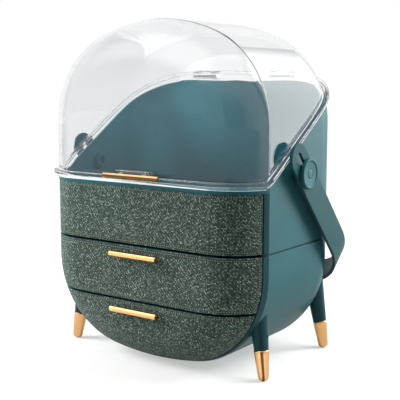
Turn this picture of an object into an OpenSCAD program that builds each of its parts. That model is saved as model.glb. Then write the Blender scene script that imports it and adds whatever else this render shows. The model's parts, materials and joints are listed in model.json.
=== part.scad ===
// Domed make-up organizer: a pillow-shaped case on four splayed legs, two drawers,
// a clear lid that tips back and a carrying strap that swings and slides on two pivots.
// X runs across, the front faces -Y, the floor is Z = 0. Sizes are in millimetres.

/* [Body form] */
// Width of the body
body_w = 280; // [270:1:292]
// Depth from the sharp edge of the arch to the back
body_depth = 157; // [150:1:166]
// How far the front bulges out in front of the arch edge
front_bulge = 40; // [34:1:44]
// Width of the rolled border around the flat front
front_roll = 52; // [46:1:56]
// Radius of the rounded back edge
back_round = 49; // [40:1:52]
// Height of the top of the lid
body_top = 372; // [368:1:380]
// Radius of the arch shoulders
arch_side_r = 104; // [90:1:116]
// How much higher the arch is in its middle than a shoulder's quarter circle
arch_crown = 7; // [4:0.5:10]
// Radius of the belly corners
belly_side_r = 104; // [92:1:110]
// How much lower the belly is in its middle than a corner's quarter circle
belly_crown = 3; // [2:0.5:5]
// Height of the belly above the floor
ground_gap = 3; // [1:0.5:5]

/* [Case] */
// Wall of the case
case_wall = 3.5; // [2.5:0.1:4]
// Height of the lid seat at the front
rim_h = 200; // [196:1:206]
// Angle at which the lid seat climbs to the back
rim_angle = 33.6; // [31:0.1:34]
// Where the lid seat starts to climb, behind the arch edge
rim_bend_y = -6; // [-8:1:0]
// Height of the groove between the upper and the lower case
seam_h = 134.3; // [130:0.1:138]
// Height of the groove between the drawers
shelf_h = 73.5; // [70:0.1:76]
// Height of the grooves
groove_h = 2; // [1.5:0.1:3]
// Depth of the groove around the case
groove_depth = 1.5; // [1:0.1:2]
// Floor of the top compartment
floor_t = 2.5; // [2:0.1:4]
// Height of the plain band under the lid
band_h = 3.5; // [3:0.1:6]
// How far the band stands proud
band_out = 0.5; // [0.2:0.1:1]
// Front edge of the case sides, in front of the arch edge
frame_edge = 6.8; // [5:0.1:8]
// Distance of the shelf's edge behind the front edge of the sides
shelf_in = 2; // [1:0.1:4]

/* [Fronts] */
// Thickness of the fabric
fabric_t = 1.2; // [0.8:0.1:1.6]
// Wall of the moulded fronts
front_wall = 3.5; // [2.5:0.1:4]
// Gap between the fronts and the case sides
front_gap = 1.5; // [1:0.1:2]
// Margin of bare moulding above and below the fabric
fabric_margin = 0.5; // [0.3:0.1:1]
// Thickness of the top and bottom of a drawer front
front_lip = 3; // [2:0.1:4]

/* [Drawers] */
// Distance from the outer form to the outside of a drawer tray
tray_inset = 7.5; // [7:0.1:8.5]
// Wall of a tray
tray_wall = 2; // [1.5:0.1:2.5]
// How far a tray reaches past the start of the rounded back
tray_past_round = 12; // [4:1:14]
// Clearance above a tray's rim
tray_headroom = 5.3; // [4.5:0.1:7]
// Clearance between a tray's rim and the stop above it
stop_gap = 1.3; // [1:0.1:2]
// Clearance above the catch at a tray's back
catch_gap = 2; // [1:0.1:2.5]
// How much shorter a side runner is than its tray
runner_short = 20; // [10:1:40]
// Thickness of the plate that closes the hollow front
tray_plate = 3; // [2:0.1:4]
// How far that plate reaches back into the tray
plate_lap = 1; // [0.5:0.1:1.3]
// How far a drawer pulls out
drawer_travel = 100; // [80:1:104]
// Running clearance of the trays
run_gap = 0.3; // [0.2:0.05:0.4]
// Width of a runner
runner_w = 4; // [3:0.1:6]
// Distance of the runners from the middle
runner_x = 60; // [50:1:66]
// Height of the runners on the shelf
runner_h = 1.5; // [1:0.1:2.5]
// Width of the stops and of the catch at a tray's back
stop_w = 40; // [30:1:60]
// Thickness of a stop
stop_t = 2.5; // [2:0.1:4]

/* [Handles] */
// Length of a drawer bar
bar_l = 63; // [56:1:80]
// Height of a bar
bar_h = 5.5; // [4.5:0.1:7]
// Depth of a bar from front to back
bar_d = 5.5; // [4.5:0.1:7]
// Bevel along the edges of a bar
bar_bevel = 1.5; // [1:0.1:2]
// Distance from the fabric to a drawer bar
bar_standoff = 3; // [2:0.1:4]
// Distance from a bar's end to its post
post_inset = 6.5; // [5:0.1:10]
// Diameter of a post
post_d = 5; // [4:0.1:5.4]
// Height of a bar below the top of its drawer front
bar_drop = 9.8; // [8.5:0.1:11]
// Length of the lid bar
lid_bar_l = 74; // [60:1:90]
// Depth of the lid bar
lid_bar_d = 4; // [3:0.1:5]
// Distance of the lid bar's screws from the middle
lid_screw_x = 16; // [10:1:19]
// Width of the clear grip tab behind the lid bar
tab_w = 47; // [44:1:56]
// Height of the grip tab above the flange
tab_h = 6.5; // [6:0.1:9]

/* [Lid] */
// Wall of the lid
lid_wall = 2.5; // [2:0.1:3]
// How far the lower step of the rim stands out
skirt_out = 3; // [2:0.1:4]
// How far the flange stands out
flange_out = 6; // [5:0.1:6.6]
// Height of the lower step
skirt_h = 4; // [3:0.1:5]
// Thickness of the flange
flange_t = 3.5; // [2.5:0.1:4.5]
// Gap between the lid and its seat
seat_gap = 0.3; // [0.2:0.05:0.6]

/* [Lid hinges] */
// Distance of a hinge from the middle
hinge_x = 55; // [45:1:66]
// Distance from the flange to the hinge axis
hinge_out = 5; // [4.6:0.1:7]
// Diameter of the hinge pins
pin_d = 3; // [2.5:0.1:4]
// Outside radius of a knuckle
knuckle_r = 4; // [3.5:0.1:4.4]
// Length of the lid's knuckle
lug_l = 18; // [12:0.5:22]
// Length of each knuckle of a bracket
ear_l = 9; // [7:0.5:11]
// Running clearance of the pins
pin_gap = 0.06; // [0.03:0.01:0.1]
// Height of a bracket plate on the back
bracket_h = 22; // [18:1:28]
// Thickness of a bracket plate
bracket_t = 2; // [1.6:0.1:3]

/* [Strap] */
// Distance of the strap pivots behind the arch edge
pivot_y = 55; // [50:1:60]
// Height of the strap pivots
pivot_z = 212; // [208:1:216]
// Gap between the case and the strap
strap_gap = 7.5; // [7.2:0.1:9]
// Thickness of the strap
strap_t = 3.5; // [2.5:0.1:4.5]
// Width of the strap
strap_w = 32; // [28:1:36]
// Distance from the back of the body to the middle of the strap's bight
strap_back = 17.5; // [16:0.1:24]
// Radius of the strap's two bends
strap_bend_r = 72; // [66:1:82]
// Angle of the strap below level when it leans at the back
strap_lean = 48; // [47:1:50]
// How far the strap slides on its pivots
strap_slide = 24; // [16:1:26]
// Distance from the pivot to the centre of the strap's round tip
tip_offset = 22; // [20:1:26]
// Width of the slot in the strap
slot_w = 9; // [8:0.1:10]
// Diameter of the pivot bushes where they turn in the case
bush_d = 10; // [9:0.1:11]
// Wall of the bearing around a bush
bearing_wall = 2; // [1.5:0.1:3]
// How far the collars of the bearing and of the nut stand out
collar_out = 3; // [2:0.1:4]
// Thickness of the bearing's collar inside the case
bearing_collar_t = 2.5; // [2:0.1:4]
// Thickness of the nut on a bush
nut_t = 3; // [2:0.1:5]
// Running clearance at each face of a bush and of the strap
washer_gap = 0.3; // [0.2:0.05:0.4]
// Diameter of the shoulder between the case and the strap
shoulder_d = 18; // [15:0.5:20]
// Diameter of the round cover over a pivot
button_d = 31; // [28:0.5:33]
// Thickness of that cover
button_t = 4.4; // [3:0.1:6]

/* [Legs] */
// Distance of the front feet in from the side of the body
front_foot_in = 9; // [7:0.5:12]
// Distance of the back feet in from the side of the body
back_foot_in = 13; // [11:0.5:15]
// Place of the front feet behind the arch edge
front_foot_y = 6; // [4:1:12]
// Distance of the back feet in from the back
back_foot_y_in = 13; // [10:1:16]
// Sideways splay of a leg, per unit of height
splay_x = 0.145; // [0.12:0.005:0.16]
// Fore and aft splay of a leg, per unit of height
splay_y = 0.072; // [0.05:0.002:0.08]
// Radius of a foot
foot_r = 5.75; // [5:0.05:6.5]
// Radius of a gold cap at its top
cap_top_r = 8; // [7:0.1:9]
// Height of a gold cap
cap_h = 32; // [28:1:36]
// Radius gained by a leg from its cap to 40 mm higher
leg_flare = 2.6; // [2:0.1:3.2]

/* [Screws] */
// Diameter of a screw's shank
screw_d = 3; // [2.5:0.1:3.4]
// Diameter of a screw's head
screw_head_d = 5.6; // [5:0.1:6]
// Diameter of the heads of the lid bar's screws
lid_head_d = 4.2; // [3.8:0.1:4.6]
// Height of a screw's head
screw_head_h = 1.6; // [1.2:0.1:2]
// Length of the leg screws
leg_screw_l = 13; // [10:0.1:20]
// Gap between a leg screw's head and the inside of the belly
screw_seat = 0.5; // [0.4:0.1:0.8]
// Distance of the case screws from the middle
case_screw_x = 85; // [70:1:92]
// Distance of the case screws in from the back
case_screw_in = 17; // [14:1:20]
// Length of the case screws under their heads
case_screw_l = 43.3; // [20:0.1:48]
// Diameter of the bosses for the case screws
boss_d = 9; // [8:0.1:11]

/* [Hidden] */

$fn = 48;
teal = "darkslategray";
gold = "goldenrod";
steel = "silver";
clear = [0.9, 0.93, 0.97, 0.35];
green_cloth = [0.22, 0.32, 0.28];

// steps of the faceted form
side_steps = 10;
crown_steps = 8;
belly_steps = 4;
roll_steps = 7;
round_steps = 7;
far = 600;
eps = 0.01;

// radius of the crown arc that joins two shoulders smoothly
function crown_r(rise, side_r) =
    (pow(body_w/2 - side_r, 2) + rise*rise - side_r*side_r)/(2*(rise - side_r));
arch_cx = body_w/2 - arch_side_r;
// heights where the arch and the belly leave the straight sides
arch_spring = body_top - arch_crown - arch_side_r;
belly_spring = ground_gap + belly_crown + belly_side_r;
arch_crown_r = crown_r(body_top - arch_spring, arch_side_r);
arch_crown_z = body_top - arch_crown_r;
arch_turn = atan2(arch_spring - arch_crown_z, arch_cx);
belly_cx = body_w/2 - belly_side_r;
belly_crown_r = crown_r(belly_spring - ground_gap, belly_side_r);
belly_crown_z = ground_gap + belly_crown_r;
belly_turn = atan2(belly_crown_z - belly_spring, belly_cx);
// arc of the rolled front border
front_r = (front_bulge*front_bulge + front_roll*front_roll)/(2*front_bulge);
front_cy = front_r - front_bulge;

// heights
lower_top = seam_h - groove_h/2;
floor_z = seam_h + groove_h/2;
shelf_z0 = shelf_h - groove_h/2;
shelf_z1 = shelf_h + groove_h/2;
band_z = rim_h - band_h;
upper_tray_z0 = shelf_z1 + runner_h + run_gap;
upper_tray_z1 = lower_top - tray_headroom;
lower_tray_z1 = shelf_z0 - tray_headroom;
tray_back = body_depth - back_round + tray_past_round;
front_back_y = -frame_edge - front_gap;
stop_y = tray_back - tray_wall - run_gap - drawer_travel;
stop_drop = tray_headroom - stop_gap;

// handles and lid bar
fabric_y = -front_bulge;
front_face_y = fabric_y + fabric_t;
front_inner_y = front_face_y + front_wall;
bar_back_y = fabric_y - bar_standoff;
upper_bar_z = lower_top - bar_drop;
lower_bar_z = shelf_z0 - bar_drop + 0.3;
post_x = bar_l/2 - post_inset;
flange_y = fabric_y - flange_out;
flange_z0 = rim_h + skirt_h;
flange_z1 = flange_z0 + flange_t;
lid_bar_z0 = flange_z0 + 1;
lid_screw_z = flange_z1 + lid_head_d/2 + 0.1;
tab_t = 3.5;

// lid hinge
hinge_y = body_depth + flange_out + hinge_out;
hinge_z = rim_at(body_depth + flange_out) + 2;
hinge_side_gap = 0.4;
ear_x = lug_l/2 + hinge_side_gap;
bracket_w = 2*(ear_x + ear_l);
bracket_z1 = rim_at(body_depth) - 4;
hinge_screw_x = ear_x + ear_l/2;
arm_drop = 9;
hinge_screw_z = (2*bracket_z1 - bracket_h - arm_drop)/2;

// strap and pivots
strap_in = body_w/2 + strap_gap;
strap_out = strap_in + strap_t;
neck_r = slot_w/2 - 0.1;
bush_gap = 0.05;
bearing_r = bush_d/2 + bearing_wall;
bearing_x0 = body_w/2 - case_wall - bearing_collar_t;
nut_r = bush_d/2 + collar_out;
button_x = strap_out + 0.5;

// overall reach from front to back, which sets the origin
front_most = flange_y - lid_bar_d;
strap_reach = (body_depth - pivot_y + strap_back)/cos(strap_lean);
back_most = pivot_y + (strap_reach + strap_t/2)*cos(strap_lean) + strap_w/2*sin(strap_lean);
module placed() translate([0, -(front_most + back_most)/2, 0]) children();

// height of the lid seat at a given depth
function rim_at(y) = y < rim_bend_y ? rim_h : rim_h + (y - rim_bend_y)*tan(rim_angle);

function arc_points(cx, cz, r, a0, a1, steps, first, last) =
    [for (i = [first : steps - last]) let(a = a0 + (a1 - a0)*i/steps) [cx + r*cos(a), cz + r*sin(a)]];

// front outline of the body, set in by d
function outline(d) = concat(
    arc_points(arch_cx, arch_spring, arch_side_r - d, 0, arch_turn, side_steps, 0, 0),
    arc_points(0, arch_crown_z, arch_crown_r - d, arch_turn, 180 - arch_turn, crown_steps, 1, 1),
    arc_points(-arch_cx, arch_spring, arch_side_r - d, 180 - arch_turn, 180, side_steps, 0, 0),
    arc_points(-belly_cx, belly_spring, belly_side_r - d, 180, 180 + belly_turn, side_steps, 0, 0),
    arc_points(0, belly_crown_z, belly_crown_r - d, 180 + belly_turn, 360 - belly_turn, belly_steps, 1, 1),
    arc_points(belly_cx, belly_spring, belly_side_r - d, 360 - belly_turn, 360, side_steps, 0, 0));

// [depth, inset] of each ring: the rolled front border, then the rounded back edge
function front_rings(t) = let(turn = asin((front_roll - t)/(front_r - t)))
    [for (i = [0 : roll_steps]) let(a = turn*i/roll_steps)
        [front_cy - (front_r - t)*cos(a), front_roll - (front_r - t)*sin(a)]];
function back_rings(t) =
    [for (i = [0 : round_steps]) let(a = 90*i/round_steps)
        [body_depth - back_round + (back_round - t)*sin(a), back_round - (back_round - t)*cos(a)]];

// the whole pillow form, set in by t on every side
module form(t) {
    rings = concat(front_rings(t), back_rings(t));
    n = len(outline(0));
    m = len(rings);
    points = [for (ring = rings) for (p = outline(ring[1])) [p[0], ring[0], p[1]]];
    sides = [for (j = [0 : m - 2]) for (k = [0 : n - 1]) let(k1 = (k + 1) % n)
        [j*n + k, j*n + k1, (j + 1)*n + k1, (j + 1)*n + k]];
    front_cap = [for (k = [n - 1 : -1 : 0]) k];
    back_cap = [for (k = [0 : n - 1]) (m - 1)*n + k];
    polyhedron(points = points, faces = concat([front_cap], sides, [back_cap]), convexity = 4);
}

module box(x0, x1, y0, y1, z0, z1) translate([x0, y0, z0]) cube([x1 - x0, y1 - y0, z1 - z0]);
module slab(y0, y1, z0, z1) box(-far/2, far/2, y0, y1, z0, z1);
module both_sides() {
    children();
    mirror([1, 0, 0]) children();
}
// a profile in depth and height, extruded across the body
module across(x0, x1) translate([x0, 0, 0]) rotate([90, 0, 90]) linear_extrude(x1 - x0) children();
// everything between the lid seat raised by a and the seat raised by b
module seat_layer(a, b) across(-far/2, far/2)
    polygon([[-far/4, rim_h + a], [rim_bend_y, rim_h + a], [far/2, rim_at(far/2) + a],
        [far/2, rim_at(far/2) + b], [rim_bend_y, rim_h + b], [-far/4, rim_h + b]]);
module rod_x(x0, x1, y, z, r) translate([x0, y, z]) rotate([0, 90, 0]) cylinder(h = x1 - x0, r = r);
module rod_y(x, y0, y1, z, r) translate([x, y0, z]) rotate([-90, 0, 0]) cylinder(h = y1 - y0, r = r);

// ---- case ----
module case_screw_places() both_sides() translate([case_screw_x, body_depth - case_screw_in, 0]) children();
module lower_case() color(teal) difference() {
    union() {
        difference() {
            intersection() {
                form(0);
                slab(-frame_edge, far/2, -1, lower_top);
            }
            form(case_wall);
        }
        intersection() {
            form(case_wall/2);
            slab(shelf_in - frame_edge, far/2, shelf_z0, shelf_z1);
        }
        case_screw_places() translate([0, 0, shelf_z1]) cylinder(h = floor_z - shelf_z1, d = boss_d);
        // stop that the lower tray's catch meets
        box(-stop_w/2, stop_w/2, stop_y - stop_t, stop_y, shelf_z0 - stop_drop, shelf_z0);
    }
    leg_screw_places() cylinder(h = 3*case_wall, d = screw_d + 0.4, center = true);
    case_screw_places() translate([0, 0, shelf_z1 + boss_d]) cylinder(h = far, d = screw_d);
}
module upper_case() color(teal) difference() {
    union() {
        difference() {
            union() {
                intersection() {
                    form(0);
                    slab(-frame_edge, far/2, floor_z, far);
                }
                intersection() {
                    form(fabric_t);
                    slab(-far/2, -frame_edge, floor_z, band_z);
                }
                intersection() {
                    form(-band_out);
                    slab(-far/2, 0, band_z, rim_h);
                }
                intersection() {
                    form(groove_depth);
                    slab(-frame_edge, far/2, lower_top, floor_z);
                }
            }
            intersection() {
                form(front_wall + fabric_t);
                slab(-far/2, -frame_edge + front_wall, floor_z + floor_t, far);
            }
            intersection() {
                form(case_wall);
                slab(-frame_edge + front_wall, far/2, floor_z + floor_t, far);
            }
            intersection() {
                form(case_wall);
                slab(-far/2, far/2, 0, floor_z);
            }
            seat_layer(0, far);
        }
        // stop that the upper tray's catch meets
        box(-stop_w/2, stop_w/2, stop_y - stop_t, stop_y, floor_z - groove_h - stop_drop, floor_z);
    }
    rod_x(-far/2, far/2, pivot_y, pivot_z, bearing_r);
    case_screw_places() cylinder(h = far/2, d = screw_d);
    hinge_screw_places() rod_y(0, -2*case_wall, far/4, 0, screw_d/2);
}
module front_skin(z0, z1) color(green_cloth) difference() {
    intersection() {
        form(0);
        slab(-far/2, front_back_y, z0, z1);
    }
    form(fabric_t);
}
module upper_front_fabric() front_skin(floor_z + fabric_margin, band_z);

// ---- drawers ----
module drawer_front(z0, z1, hollow_z0, bar_z) color(teal) difference() {
    intersection() {
        form(fabric_t);
        slab(-far/2, front_back_y, z0, z1);
    }
    intersection() {
        form(fabric_t + front_wall);
        slab(-far/2, far/2, hollow_z0, z1 - front_lip);
    }
    both_sides() rod_y(post_x, fabric_y - 1, front_inner_y + 1, bar_z, screw_d/2);
}
module drawer_fabric(z0, z1, bar_z) difference() {
    front_skin(z0, z1);
    both_sides() rod_y(post_x, fabric_y - 1, front_inner_y, bar_z, post_d/2);
}
// an open box along Y whose section follows the form; z0 is the underside of its floor
module tray(z0, z1, floor_low, front_z0, front_z1) color(teal) {
    difference() {
        intersection() {
            tray_prism(tray_inset, front_back_y, tray_back);
            union() {
                slab(-far/2, far/2, z0, z1);
                // catch at the back
                box(-stop_w/2, stop_w/2, 0, far/2, z0, z1 + tray_headroom - catch_gap);
            }
        }
        intersection() {
            tray_prism(tray_inset + tray_wall, -far/2, tray_back - tray_wall);
            slab(-far/2, far/2, floor_low, far);
        }
    }
    // plate that closes the hollow front
    intersection() {
        form(fabric_t + front_wall);
        slab(front_back_y + plate_lap - tray_plate, front_back_y + plate_lap, front_z0, front_z1 - front_lip);
    }
}
module tray_prism(d, y0, y1) translate([0, y1, 0]) rotate([90, 0, 0]) linear_extrude(y1 - y0)
    polygon(outline(d));

module upper_drawer_front() drawer_front(shelf_z1, lower_top, shelf_z1 + front_lip, upper_bar_z);
module upper_drawer_fabric() drawer_fabric(shelf_z1 + fabric_margin, lower_top - fabric_margin, upper_bar_z);
module upper_drawer_tray()
    tray(upper_tray_z0, upper_tray_z1, upper_tray_z0 + tray_wall, shelf_z1 + front_lip, lower_top);
module lower_drawer_front() drawer_front(-1, shelf_z0, -1, lower_bar_z);
module lower_drawer_fabric() drawer_fabric(-1, shelf_z0 - fabric_margin, lower_bar_z);
module lower_drawer_tray() tray(-1, lower_tray_z1, -1, -1, shelf_z0);

// ribs on the shelf and on the walls that guide the upper tray
module upper_runners() color(teal) both_sides() {
    box(runner_x, runner_x + runner_w, 0, tray_back, shelf_z1, shelf_z1 + runner_h);
    box(body_w/2 - tray_inset + run_gap, body_w/2 - case_wall, 0, tray_back - runner_short,
        upper_tray_z1 - 2*runner_w, upper_tray_z1 - runner_w);
}
// ribs in the belly that guide the lower tray
module lower_runners() color(teal) intersection() {
    difference() {
        form(case_wall);
        tray_prism(tray_inset - run_gap, -far/4, far/2);
    }
    both_sides() {
        box(runner_x, runner_x + runner_w, 0, body_depth - back_round, 0, shelf_h/2);
        box(body_w/4, body_w/2, screw_y(front_foot_y, 1) + screw_head_d, body_depth - back_round,
            lower_tray_z1 - 2*runner_w, lower_tray_z1 - runner_w);
    }
}

// ---- handles ----
// a bar along X with bevelled edges; its front is at y = -d
module bar(length, d, h) across(-length/2, length/2) polygon([
    [-d, h/2 - bar_bevel], [-d, bar_bevel - h/2], [bar_bevel - d, -h/2], [0, -h/2],
    [0, h/2], [bar_bevel - d, h/2]]);
module drawer_handle(z) color(gold) difference() {
    union() {
        translate([0, bar_back_y, z]) bar(bar_l, bar_d, bar_h);
        both_sides() rod_y(post_x, bar_back_y - 0.5, front_face_y, z, post_d/2);
    }
    both_sides() rod_y(post_x, bar_back_y - bar_d/2, front_face_y + 1, z, screw_d/2);
}
module handle_screws(z) color(steel) both_sides() {
    rod_y(post_x, bar_back_y - bar_d/2, front_inner_y + 0.5, z, screw_d/2);
    rod_y(post_x, front_inner_y, front_inner_y + screw_head_h, z, screw_head_d/2);
}
module upper_drawer_handle() drawer_handle(upper_bar_z);
module upper_handle_screws() handle_screws(upper_bar_z);
module lower_drawer_handle() drawer_handle(lower_bar_z);
module lower_handle_screws() handle_screws(lower_bar_z);

// ---- lid ----
module lid_shell() color(clear) difference() {
    union() {
        intersection() {
            form(0);
            seat_layer(seat_gap, far);
        }
        intersection() {
            form(-skirt_out);
            seat_layer(seat_gap, skirt_h + eps);
        }
        intersection() {
            form(-flange_out);
            seat_layer(skirt_h, skirt_h + flange_t);
        }
        box(-tab_w/2, tab_w/2, flange_y, flange_y + tab_t, flange_z0, flange_z1 + tab_h);
    }
    form(lid_wall);
    both_sides() rod_y(lid_screw_x, flange_y - 1, flange_y + flange_out, lid_screw_z, screw_d/2);
}
module lid_handle() color(gold) difference() {
    translate([0, flange_y, lid_bar_z0 + bar_h/2]) bar(lid_bar_l, lid_bar_d, bar_h);
    both_sides() rod_y(lid_screw_x, flange_y - lid_bar_d/2, flange_y + 1, lid_screw_z, screw_d/2);
}
module lid_handle_screws() color(steel) both_sides() {
    rod_y(lid_screw_x, flange_y - lid_bar_d/2, flange_y + tab_t + 0.5, lid_screw_z, screw_d/2);
    rod_y(lid_screw_x, flange_y + tab_t, flange_y + tab_t + screw_head_h, lid_screw_z, lid_head_d/2);
}

// ---- lid hinges ----
module hinge_places() both_sides() translate([hinge_x, 0, 0]) children();
module hinge_screw_places() hinge_places() for (side = [-1, 1])
    translate([side*hinge_screw_x, body_depth, hinge_screw_z]) children();
module knuckle(x0, x1, bore) difference() {
    children();
    rod_x(x0 - 1, x1 + 1, hinge_y, hinge_z, bore);
}
module lid_hinge_lugs() color(clear) hinge_places() knuckle(-lug_l/2, lug_l/2, pin_d/2 + pin_gap) union() {
    rod_x(-lug_l/2, lug_l/2, hinge_y, hinge_z, knuckle_r);
    box(-lug_l/2, lug_l/2, body_depth + flange_out, hinge_y,
        rim_at(body_depth + flange_out) + skirt_h, rim_at(body_depth + flange_out) + skirt_h + 2);
}
module hinge_brackets() color(steel) hinge_places() difference() {
    union() {
        box(-bracket_w/2, bracket_w/2, body_depth, body_depth + bracket_t,
            bracket_z1 - bracket_h, bracket_z1);
        for (x0 = [-ear_x - ear_l, ear_x]) {
            rod_x(x0, x0 + ear_l, hinge_y, hinge_z, knuckle_r);
            across(x0, x0 + ear_l) polygon([
                [body_depth, bracket_z1 - arm_drop], [body_depth, bracket_z1],
                [hinge_y - 3, hinge_z - 1.6], [hinge_y, hinge_z], [hinge_y + 3, hinge_z - 2.5]]);
        }
    }
    rod_x(-bracket_w, bracket_w, hinge_y, hinge_z, pin_d/2);
    for (side = [-1, 1]) rod_y(side*hinge_screw_x, 0, far, hinge_screw_z, screw_d/2);
}
module hinge_pins() color(steel) hinge_places() rod_x(-bracket_w/2, bracket_w/2, hinge_y, hinge_z, pin_d/2);
module hinge_screws() color(steel) hinge_screw_places() {
    rod_y(0, 0.5 - case_wall, bracket_t, 0, screw_d/2);
    rod_y(0, bracket_t, bracket_t + screw_head_h, 0, screw_head_d/2);
}

// ---- strap ----
module at_pivot() translate([0, pivot_y, pivot_z]) children();
module strap() color(teal) at_pivot() rotate([-(90 + strap_lean), 0, 0]) difference() {
    rotate([90, 0, 0]) linear_extrude(strap_w, center = true) difference() {
        band_shape(0);
        band_shape(strap_t);
    }
    // round tips
    both_sides() difference() {
        box(strap_in - 1, strap_out + 1, -strap_w, strap_w, -tip_offset - far/4, -tip_offset);
        rod_x(strap_in - 2, strap_out + 2, 0, -tip_offset, strap_w/2);
    }
    both_sides() {
        rod_x(strap_in - 1, strap_out + 1, 0, 0, slot_w/2);
        rod_x(strap_in - 1, strap_out + 1, 0, -strap_slide, slot_w/2);
        box(strap_in - 1, strap_out + 1, -slot_w/2, slot_w/2, -strap_slide, 0);
    }
}
// solid shape inside the band's outside, set in by d
module band_shape(d) {
    r = strap_bend_r - d;
    top = strap_reach + strap_t/2 - d;
    both_sides() translate([0, top - r]) intersection() {
        translate([strap_out - d - r, 0]) circle(r, $fn = 96);
        square([far, far]);
    }
    translate([-(strap_out - d - r), 0]) square([2*(strap_out - d - r), top]);
    translate([-(strap_out - d), -tip_offset - strap_w/2])
        square([2*(strap_out - d), top - r + tip_offset + strap_w/2]);
}
module strap_bearings() color(steel) both_sides() difference() {
    union() {
        rod_x(bearing_x0, body_w/2, pivot_y, pivot_z, bearing_r);
        rod_x(bearing_x0, body_w/2 - case_wall, pivot_y, pivot_z, bearing_r + collar_out);
    }
    rod_x(0, far, pivot_y, pivot_z, bush_d/2 + bush_gap);
}
nut_x1 = bearing_x0 - washer_gap;
module strap_bushes() color(steel) both_sides() {
    rod_x(nut_x1 - nut_t, body_w/2 + washer_gap, pivot_y, pivot_z, bush_d/2);
    rod_x(body_w/2 + washer_gap, strap_in - washer_gap, pivot_y, pivot_z, shoulder_d/2);
    rod_x(strap_in - washer_gap, button_x, pivot_y, pivot_z, neck_r);
}
module strap_nuts() color(steel) both_sides() difference() {
    rod_x(nut_x1 - nut_t, nut_x1, pivot_y, pivot_z, nut_r);
    rod_x(0, far, pivot_y, pivot_z, bush_d/2);
}
module strap_button() color(teal) difference() {
    rod_x(button_x, button_x + button_t, pivot_y, pivot_z, button_d/2);
    rod_x(button_x + button_t - 0.6, far, pivot_y, pivot_z, button_d/5);
}
module strap_button_right() strap_button();
module strap_button_left() mirror([1, 0, 0]) strap_button();

// ---- legs ----
// height of the foot's centre: its round end is cut flat by the floor
foot_z = foot_r - 0.35;
tilt = atan(sqrt(splay_x*splay_x + splay_y*splay_y));
front_foot_x = body_w/2 - front_foot_in;
back_foot_x = body_w/2 - back_foot_in;
back_foot_y = body_depth - back_foot_y_in;
// on the right side; the leg leans in and towards the middle of the depth
module on_leg(x, y, lean_y) translate([x, y, foot_z])
    rotate([0, tilt, atan2(lean_y*splay_y, -splay_x)]) children();
leg_l = belly_spring;
cap_l = cap_h - foot_z;
leg_r0 = cap_top_r - 0.4;
// the belly's right corner as a body turned about its own centre line
module belly_corner() translate([belly_cx, 0, belly_spring]) rotate([-90, 0, 0]) rotate_extrude($fn = 120) {
    translate([0, -far/4]) square([belly_side_r, far/4 + body_depth - back_round]);
    translate([0, -far/4]) square([belly_side_r - back_round, far/4 + body_depth]);
    intersection() {
        translate([belly_side_r - back_round, body_depth - back_round]) circle(back_round, $fn = 96);
        translate([0, -far/4]) square([far, far]);
    }
}
module leg(x, y, lean_y) color(teal) difference() {
    on_leg(x, y, lean_y) translate([0, 0, cap_l])
        cylinder(h = leg_l - cap_l, r1 = leg_r0, r2 = leg_r0 + leg_flare*(leg_l - cap_l)/40);
    belly_corner();
    leg_screw_places() cylinder(h = far/10, d = screw_d, center = true);
}
module cap(x, y, lean_y) color(gold) difference() {
    on_leg(x, y, lean_y) {
        sphere(foot_r);
        cylinder(h = cap_l, r1 = foot_r, r2 = cap_top_r);
    }
    slab(-far/2, far/2, -far/2, 0);
}
module leg_front_right() leg(front_foot_x, front_foot_y, 1);
module leg_back_right() leg(back_foot_x, back_foot_y, -1);
module leg_front_left() mirror([1, 0, 0]) leg_front_right();
module leg_back_left() mirror([1, 0, 0]) leg_back_right();
module cap_front_right() cap(front_foot_x, front_foot_y, 1);
module cap_back_right() cap(back_foot_x, back_foot_y, -1);
module cap_front_left() mirror([1, 0, 0]) cap_front_right();
module cap_back_left() mirror([1, 0, 0]) cap_back_right();

// where a leg's axis meets a belly corner of radius r, and the slope of the form there
function meet_z(x, r) = let(a = 1 + splay_x*splay_x, u = x - belly_cx,
    b = splay_x*u + belly_spring, c = u*u + belly_spring*belly_spring - r*r) (b - sqrt(b*b - a*c))/a;
// where a leg's screw lies from front to back
function screw_y(y, lean_y) = y + lean_y*splay_y*belly_spring/2;
module leg_screw_place(x, y, lean_y) {
    y1 = screw_y(y, lean_y);
    around = y1 > body_depth - back_round ? asin((y1 - body_depth + back_round)/back_round) : 0;
    r = belly_side_r - back_round*(1 - cos(around));
    z = meet_z(x, r);
    down = asin((belly_spring - z)/r);
    translate([belly_cx + r*cos(down), y1, z]) rotate([0, 90 + down, 0]) rotate([-around, 0, 0]) children();
}
module leg_screw_places() both_sides() {
    leg_screw_place(front_foot_x, front_foot_y, 1) children();
    leg_screw_place(back_foot_x, back_foot_y, -1) children();
}
module leg_screws() color(steel) leg_screw_places() {
    translate([0, 0, -case_wall - screw_seat - screw_head_h/2]) cylinder(h = leg_screw_l, d = screw_d);
    translate([0, 0, -case_wall - screw_seat - screw_head_h]) cylinder(h = screw_head_h, d = screw_head_d);
}
module case_screws() color(steel) case_screw_places() {
    translate([0, 0, floor_z + floor_t - case_screw_l]) cylinder(h = case_screw_l + 0.5, d = screw_d);
    translate([0, 0, floor_z + floor_t]) cylinder(h = screw_head_h, d = screw_head_d);
}

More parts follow.
